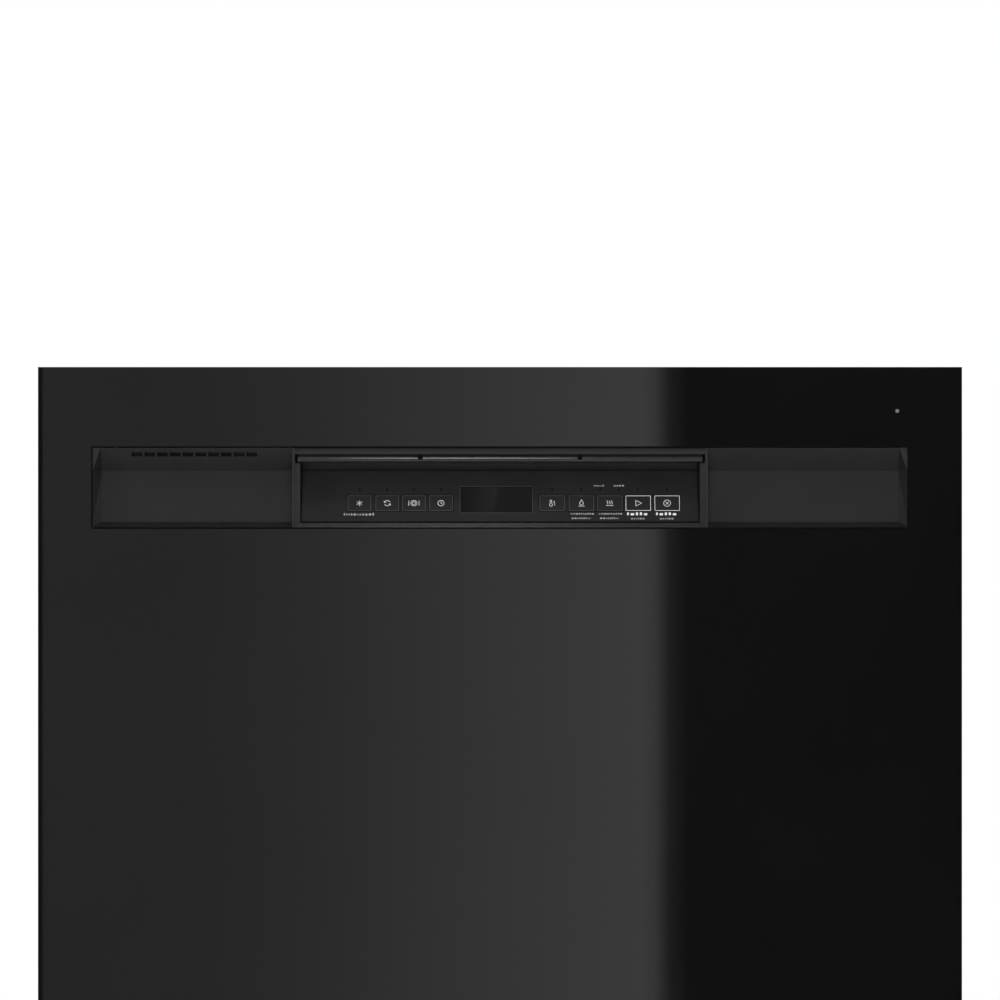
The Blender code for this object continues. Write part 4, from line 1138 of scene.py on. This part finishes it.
def stitches(name, surface, size, cells, lift, dents):
    """The thread that quilts a panel: a dash on the surface every pitch along each sewn line."""
    along_s, along_t = (spread(QUILT_BORDER, length - 0.02, STITCH_PITCH) for length in size)
    dashes = [(size[0] * i / cells[0], t, 0.0, STITCH_LENGTH) for i in range(1, cells[0]) for t in along_t]
    dashes += [(s, size[1] * j / cells[1], STITCH_LENGTH, 0.0) for j in range(1, cells[1]) for s in along_s]
    paths = []
    for s, t, ds, dt in dashes:
        dash = []
        for share, sunk in ((0.0, -0.0006), (0.15, 0.0002), (0.85, 0.0002), (1.0, -0.0006)):
            point, normal = surface(s + ds * share, t + dt * share)
            dash.append(tuple(Vector(point) + Vector(normal) * (lift + sunk)))
        if pressed_flat(dash[0], dents) == 0.0:
            paths.append((dash, False))
    wires(name, paths, STITCH_R, "cabinet", "blanket_felt", "thread_grey", sides=1)


def arch_path(side, low, top, radius, steps):
    """Up one side of the tub, over the top and down the other, with round corners."""
    return bent([(-side, 0, low), (-side, 0, top), (side, 0, top), (side, 0, low)], radius, steps=steps)


def insulation():
    """The bitumen-felt blanket: one quilt over the sides and top, and one down the back."""
    low, high, _ = box_of("insulation_blanket")
    back, side, top = high.y - 0.012, high.x - 0.012, high.z - 0.009
    path = arch_path(side, low.z, top, 0.004, 6)
    brackets = [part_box(name) for name in ("worktop_bracket_left", "worktop_bracket_right")]
    dents = [(a - Vector((0.004, 0.004, 0.02)), b + Vector((0.004, 0.004, 0.0))) for a, b in brackets]
    lengths = [0.0]
    for a, b in zip(path, path[1:]):
        lengths.append(lengths[-1] + (Vector(b) - Vector(a)).length)

    def over(s, t):
        i = max(1, next((k for k, length in enumerate(lengths) if length >= s), len(path) - 1))
        a, b = Vector(path[i - 1]), Vector(path[i])
        point = a.lerp(b, (s - lengths[i - 1]) / (lengths[i] - lengths[i - 1]))
        run = (b - a).normalized()
        return (point.x, low.y + t, point.z), Vector((-run.z, 0.0, run.x))

    def behind(s, t):
        return (side - s, back, low.z + t), (0.0, 1.0, 0.0)

    quilted("insulation_wrap", over, (lengths[-1], back - low.y), (18, 5), WRAP_THICK, dents)
    quilted("insulation_back", behind, (2 * side, top - low.z), (5, 6), BACK_THICK)


def gasket():
    """The tub seal's bulb section, carried up one side, over the top and down the other."""
    low, high, _ = box_of("tub_gasket")
    path = [(p.x, p.z) for p in arch_path(high.x - 0.0060, low.z, high.z - 0.0045, 0.006, 4)]
    depth = high.y - low.y - 0.0002
    half = [(0.0042, 0.0), (0.0042, 0.0009), (0.0020, 0.0014), (0.0033, 0.0028), (0.0026, depth * 0.88)]
    bulb = half + [(0.0, depth)] + [(-u, w) for u, w in reversed(half)]
    parts = [(sweep, path, False, bulb, facing_front(0.0, high.y, 0.0))]
    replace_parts(build("tub_gasket_bulb", parts, "cabinet", "seal_rubber"), "tub_gasket")


# ---------------------------------------------------------------- tub and cabinet
TUB_WALL_X = 0.2820
FLOOR_Z = 0.160
HEATER_REACH = 0.165
DRAIN_AXIS = (0.0, 0.020, 0.112)
DRAIN_START = 0.105
SPIGOT_X = 0.165
VALVE_BODY, VALVE_TALL = 0.078, 0.037
SOFT_EDGES = (
    ("access_panel", 0.0005), ("base_pan", 0.0006), ("side_rail_left", 0.0004),
    ("side_rail_right", 0.0004), ("hinge_arm_left", 0.0005), ("hinge_arm_right", 0.0005),
    ("water_feed_tube", 0.0030), ("overfill_float", 0.0008), ("dispenser_body", 0.0012),
    ("dispenser_lid", 0.0008), ("rinse_cap", 0.0008), ("latch_hook", 0.0008),
    ("worktop_bracket_left", 0.0003), ("worktop_bracket_right", 0.0003), ("twist_filter", 0.0006),
    ("sump", 0.0006), ("rack_slide_left", 0.0010), ("rack_slide_right", 0.0010),
    ("bottom_seal", 0.0008), ("display_window", 0.0002),
)


def tub_pressings():
    """Stiffening fields pressed into the tub's sides and back, and a collar round the sump."""
    low, high, _ = box_of("tub")
    look = ("cabinet", "stainless", "stainless_pressed")
    for side, hand in SIDES:
        place = facing_side(side, side * TUB_WALL_X, 0.010, 0.0) @ Matrix.Rotation(math.pi, 4, "Y")
        fields = ((0.290, 0.110), (0.455, 0.150), (0.735, 0.120))
        parts = [(pad, (0.400, tall), 0.030, place, 0.0022, 0.008, (0.0, z)) for z, tall in fields]
        build("tub_side_pressing_" + hand, parts, *look)
    place = facing_front(0.0, high.y - 0.0010, 0.0)
    heights = (0.300, 0.150), (0.480, 0.150), (0.735, 0.120)
    fields = [(side * 0.140, z, tall) for side, _ in SIDES for z, tall in heights]
    parts = [(pad, (0.190, tall), 0.025, place, 0.0022, 0.008, (x, z)) for x, z, tall in fields]
    build("tub_back_pressing", parts, *look)
    _, _, sump = box_of("sump")
    crown = (0.1150, 0.0016), (0.1185, 0.0022), (0.1230, 0.0016), (0.1255, 0.0)
    ring = [(0.1130, 0.0), *crown, (0.1130, 0.0)]
    build("sump_collar", [(lathe, ring, moved(sump.x, sump.y, low.z + 0.0010), 96)], *look)


def heater_fittings():
    """P-clips under the heating ring, and the two glands where its ends pass through the floor."""
    _, _, heater = box_of("heater_element")
    _, _, sump = box_of("sump")
    spot = {}
    for degrees in (205, 270, 335, 75, 105):
        angle = math.radians(degrees)
        outward = Vector((math.cos(angle), math.sin(angle), 0.0))
        spot[degrees] = Vector((sump.x, sump.y, heater.z)) + outward * HEATER_REACH, -outward
    parts = []
    for degrees in (205, 270, 335):
        place = frame_at(*spot[degrees])
        parts.append((sweep, circle(0.0046, 20), True, strip(-0.0004, 0.0004, -0.004, 0.004), place))
        parts.append((slab, strip(-0.0009, 0.0009, FLOOR_Z - heater.z, -0.0042), place, 0.004, -0.004))
    build("heater_clips", parts, "cabinet", "zinc_steel")
    nut = [(0.0, 0.0003), (0.0105, 0.0003), (0.0105, 0.0050), (0.0, 0.0052)]
    sleeve = [(0.0, 0.0050), (0.0060, 0.0050), (0.0056, 0.0140), (0.0040, 0.0160), (0.0, 0.0165)]
    parts = []
    for degrees in (75, 105):
        place = moved(*spot[degrees][0].xy, FLOOR_Z)
        parts += [(lathe, nut, place, 6), (lathe, sleeve, place, 24)]
    build("heater_glands", parts, "cabinet", "heater_metal")


def filter_detail():
    """Ribs round the twist filter's rim."""
    _, _, centre = box_of("twist_filter")
    place = moved(centre.x, centre.y, 0.1609)
    turns = [place @ turned(math.pi / 10 * i) for i in range(20)]
    parts = [(pad, (0.0070, 0.0016), 0.0006, turn, 0.0016, 0.0004, (0.0235, 0.0)) for turn in turns]
    build("twist_filter_ribs", parts, "twist_filter", "dark_plastic")


def arm_nozzles(arm, shares):
    """Raised spray nozzles along an arm's blades."""
    low, high, centre = box_of(arm)
    reach = (high.x - low.x) / 2
    rim = (0.0016, 0.0016), (0.0024, 0.0018), (0.0042, 0.0008), (0.0048, 0.0)
    ring = [(0.0016, 0.0004), *rim, (0.0016, 0.0004)]
    spots = [(side * reach * share, side * (0.010 * share - 0.001)) for side in (-1, 1) for share in shares]
    parts = [(lathe, ring, moved(centre.x + x, centre.y + y, high.z - 0.0004), 20) for x, y in spots]
    build(arm + "_nozzles", parts, arm, "dark_plastic", "grey_plastic")
    soften(arm, 0.0028, 3, 30)


def ribbed_can(bm, place, radius, start, end, ribs):
    """A round housing with cooling ribs round it."""
    profile = [(0.0, start), (radius - 0.002, start), (radius, start + 0.002)]
    for w in spread(start + 0.006, end - 0.006, (end - start - 0.012) / ribs)[:-1]:
        groove = radius - 0.0022
        profile += [(radius, w), (groove, w + 0.0006), (groove, w + 0.0026), (radius, w + 0.0032)]
    lathe(bm, profile + [(radius, end - 0.002), (radius - 0.002, end), (0.0, end)], place, 40)


def wash_pump():
    """The wash pump's volute with its neck, its ribbed motor and its end bell."""
    low, high, centre = box_of("wash_pump")
    radius, x = (high.y - low.y) / 2, high.x
    place = frame_at((0.0, centre.y, centre.z), (0, 1, 0))
    neck_place = frame_at((0.0, centre.y, centre.z + 0.018), (0, 1, 0))
    volute = [
        (0.0, x - 0.048), (radius - 0.004, x - 0.048), (radius, x - 0.044), (radius, x - 0.020),
        (radius - 0.004, x - 0.014), (0.0, x - 0.0130),
    ]
    neck = [(0.0, x - 0.018), (0.0138, x - 0.018), (0.0138, x - 0.0002), (0.0, x)]
    parts = [(lathe, volute, place, 48), (lathe, neck, neck_place, 32)]
    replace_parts(build("wash_pump_volute", parts, "cabinet", "dark_plastic"), "wash_pump")
    motor = (ribbed_can, place, radius * 0.90, low.x + 0.030, x - 0.050, 6)
    build("wash_pump_motor", [motor], "cabinet", "zinc_steel")
    rim = radius * 0.82
    shoulder = (0.010, 0.0), (0.012, 0.004), (0.026, 0.008), (rim, 0.014), (rim, 0.029)
    bell = [(0.0, 0.0), *shoulder, (0.0, 0.0295)]
    bell = [(across, low.x + along) for across, along in bell]
    build("wash_pump_end_bell", [(lathe, bell, place, 40)], "cabinet", "dark_plastic")


def drain_pump():
    """The drain pump with its neck and its barbed spigot."""
    low, high, _ = box_of("drain_pump")
    x, y, z = DRAIN_AXIS
    start, reach = DRAIN_START + 0.003, high.y - y
    neck = [(0.0, low.x), (0.0098, low.x), (0.0098, start), (0.0, start)]
    barbs = [(0.0, 0.015)]
    for w in (0.052, 0.060, 0.068):
        barbs += [(0.0078, w), (0.0088, w), (0.0076, w + 0.006)]
    barbs += [(0.0072, reach - 0.0002), (0.0, reach)]
    parts = [
        (ribbed_can, frame_at(DRAIN_AXIS, (0, 1, 0)), 0.0238, DRAIN_START, high.x, 5),
        (lathe, neck, frame_at((x, y, z + 0.013), (0, 1, 0)), 28),
        (lathe, barbs, frame_at((SPIGOT_X, y, z), (1, 0, 0), (0, 0, -1)), 32),
    ]
    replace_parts(build("drain_pump_body", parts, "cabinet", "dark_plastic"), "drain_pump")


def valve():
    """The inlet valve: its moulded body, threaded inlet and solenoid with two spade terminals."""
    low, high, centre = box_of("inlet_valve")
    place = moved(centre.x, centre.y)
    thread = [(0.0, low.z), (0.0086, low.z)]
    for w in spread(low.z + 0.0006, VALVE_BODY - 0.0004, 0.0018)[:-1]:
        thread += [(0.0098, w + 0.0004), (0.0088, w + 0.0012)]
    thread += [(0.0088, VALVE_BODY + 0.001), (0.0, VALVE_BODY + 0.001)]
    size = (high.x - low.x, high.y - low.y)
    block = (pad, size, 0.005, place @ moved(0, 0, VALVE_BODY), VALVE_TALL, 0.0015)
    body = build("inlet_valve_body", [block, (lathe, thread, place, 32)], "cabinet", "valve_white")
    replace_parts(body, "inlet_valve")
    solenoid = (ribbed_can, place, 0.0138, VALVE_BODY + VALVE_TALL + 0.0002, high.z, 4)
    build("inlet_valve_solenoid", [solenoid], "cabinet", "dark_plastic")
    blades = [rounded(0.0008, 0.0060, 0.0003, (offset, 0.0), 1) for offset in (-0.005, 0.005)]
    parts = [(slab, blade, place, high.z - 0.0005, high.z - 0.006) for blade in blades]
    build("inlet_valve_terminals", parts, "cabinet", "zinc_steel")


def levelling_leg(node):
    """A round foot with a spanner hexagon, on a threaded stud."""
    low, high, centre = box_of(node)
    place = moved(centre.x, centre.y)
    tread = (0.0100, low.z), (0.0106, low.z + 0.0008), (0.0106, 0.0060), (0.0086, 0.0085)
    foot = [(0.0, low.z), *tread, (0.0, 0.0085)]
    flanks = (0.0092, 0.008), (0.0106, 0.010), (0.0106, 0.0375), (0.0094, 0.0393)
    hexagon = [(0.0, 0.008), *flanks, (0.0, 0.0393)]
    parts = [(lathe, foot, place, 40), (lathe, hexagon, place, 6)]
    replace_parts(build(node + "_foot", parts, node, "dark_plastic"), node)
    thread = [(0.0, 0.0390)]
    for z in spread(0.0394, high.z - 0.0016, 0.00125)[:-1]:
        thread += [(0.0042, z), (0.0049, z + 0.0006)]
    thread += [(0.0042, high.z - 0.0008), (0.0034, high.z), (0.0, high.z)]
    build(node + "_stud", [(lathe, thread, place, 20)], node, "zinc_steel")


def screw(bm, place, radius):
    """A domed screw head on its washer."""
    washer = [(0.0, 0.0), (radius * 1.5, 0.0), (radius * 1.5, radius * 0.18), (0.0, radius * 0.2)]
    head = [(0.0, radius * 0.18), (radius, radius * 0.2), (radius * 0.9, radius * 0.6), (0.0, radius * 0.8)]
    lathe(bm, washer, place, 28)
    lathe(bm, head, place, 24)


def toe_panel():
    """Two screws and a pressed field on the access panel."""
    low, high, _ = box_of("access_panel")
    place = facing_front(0.0, low.y, 0.0)
    screws = [(screw, place @ moved(x, high.z - 0.022), 0.0034) for x in (-0.272, 0.272)]
    build("access_panel_screws", screws, "cabinet", "console_black")
    field = (pad, (0.500, 0.066), 0.006, place, 0.0014, 0.004, (0.0, 0.056))
    build("access_panel_pressing", [field], "cabinet", "console_black")


def base_detail():
    """A pressed field and three screws outside each base rail."""
    for side, hand in SIDES:
        low, high, _ = box_of("side_rail_" + hand)
        place = facing_side(side, side * max(abs(low.x), abs(high.x)), 0.030, 0.0)
        parts = [(pad, (0.460, 0.050), 0.012, place, 0.0022, 0.006, (0.0, 0.100))]
        parts += [(screw, place @ moved(y * side, 0.055), 0.0032) for y in (-0.200, 0.0, 0.200)]
        build("side_rail_pressing_" + hand, parts, "cabinet", "zinc_steel")


# ---------------------------------------------------------------- inner door
LID_Z = 0.480


def liner_pressings():
    """The liner's pressed border and fields."""
    _, high, _ = box_of("door_liner")
    place = facing_back(0.0, high.y, 0.0)
    raised = place @ moved(0, 0, 0.0024)
    bead = ((-0.0065, 0.0), (-0.0045, 0.0016), (0.0, 0.0024), (0.0045, 0.0016), (0.0065, 0.0))
    parts = [(sweep, rounded(0.480, 0.650, 0.045, (0.0, 0.480), 8), True, bead, place)]
    for z, tall in ((0.285, 0.200), (0.680, 0.170)):
        parts.append((pad, (0.400, tall), 0.030, place, 0.0026, 0.010, (0.0, z)))
    for z in (0.235, 0.285, 0.335, 0.650, 0.710):
        parts.append((pad, (0.330, 0.016), 0.0078, raised, 0.0016, 0.005, (0.0, z)))
    build("liner_pressings", parts, "door", "stainless", "stainless_pressed")


def dispenser_details():
    """The dispenser's release, vents, level window, lid ribs and the rinse cap's grip."""
    _, face, _ = box_of("dispenser_body")
    _, lid_face, lid = box_of("dispenser_lid")
    _, cap_face, cap = box_of("rinse_cap")
    place = facing_back(0.0, face.y, 0.0)
    parts = [(pad, (0.030, 0.009), 0.004, place, 0.0022, 0.0015, (-0.050, 0.440))]
    for u in (-0.040, -0.045, -0.050, -0.055, -0.060):
        parts.append((pad, (0.0016, 0.010), 0.0007, place, 0.0010, 0.0003, (u, 0.523)))
    build("dispenser_release", parts, "door", "grey_plastic", "dark_plastic")
    window = [(0.0, 0.0), (0.0046, 0.0), (0.0044, 0.0010), (0.0025, 0.0018), (0.0, 0.0020)]
    build("rinse_level_window", [(lathe, window, place @ moved(-0.072, 0.440), 24)], "door", "window_smoke")
    place = facing_back(0.0, lid_face.y, 0.0)
    raised = place @ moved(0, 0, 0.0010)
    parts = [(pad, (0.062, 0.080), 0.008, place, 0.0012, 0.004, (-lid.x, LID_Z))]
    for v in (-0.012, -0.006, 0.0, 0.006, 0.012):
        parts.append((pad, (0.030, 0.0022), 0.001, raised, 0.0012, 0.0006, (-lid.x, LID_Z + v)))
    build("dispenser_lid_grip", parts, "dispenser_lid", "grey_plastic")
    place = facing_back(0.0, cap_face.y, 0.0) @ moved(-cap.x, cap.z)
    parts = [(pad, (0.030, 0.0075), 0.003, place, 0.0048, 0.0012)]
    for i in range(24):
        spot = place @ turned(math.pi / 12 * i)
        parts.append((pad, (0.0030, 0.0012), 0.0005, spot, 0.0010, 0.0003, (0.0172, 0.0)))
    build("rinse_cap_grip", parts, "rinse_cap", "grey_plastic", "dark_plastic")


def main():
    make_materials()
    make_camera()
    make_world()
    make_lights()
    make_floor()
    dress_cad_nodes()
    console()
    status_light()
    control_board()
    liner_pressings()
    dispenser_details()
    lower_rack()
    tine_rows()
    upper_rack()
    cutlery_basket()
    insulation()
    gasket()
    tub_pressings()
    heater_fittings()
    filter_detail()
    arm_nozzles("lower_wash_arm", (0.24, 0.40, 0.56, 0.72, 0.88))
    arm_nozzles("middle_wash_arm", (0.28, 0.46, 0.64, 0.82))
    wash_pump()
    drain_pump()
    valve()
    for leg in [name for name in NODES if name.startswith("levelling_leg")]:
        levelling_leg(leg)
    toe_panel()
    base_detail()
    for name, width in SOFT_EDGES:
        soften(name, width)


main()
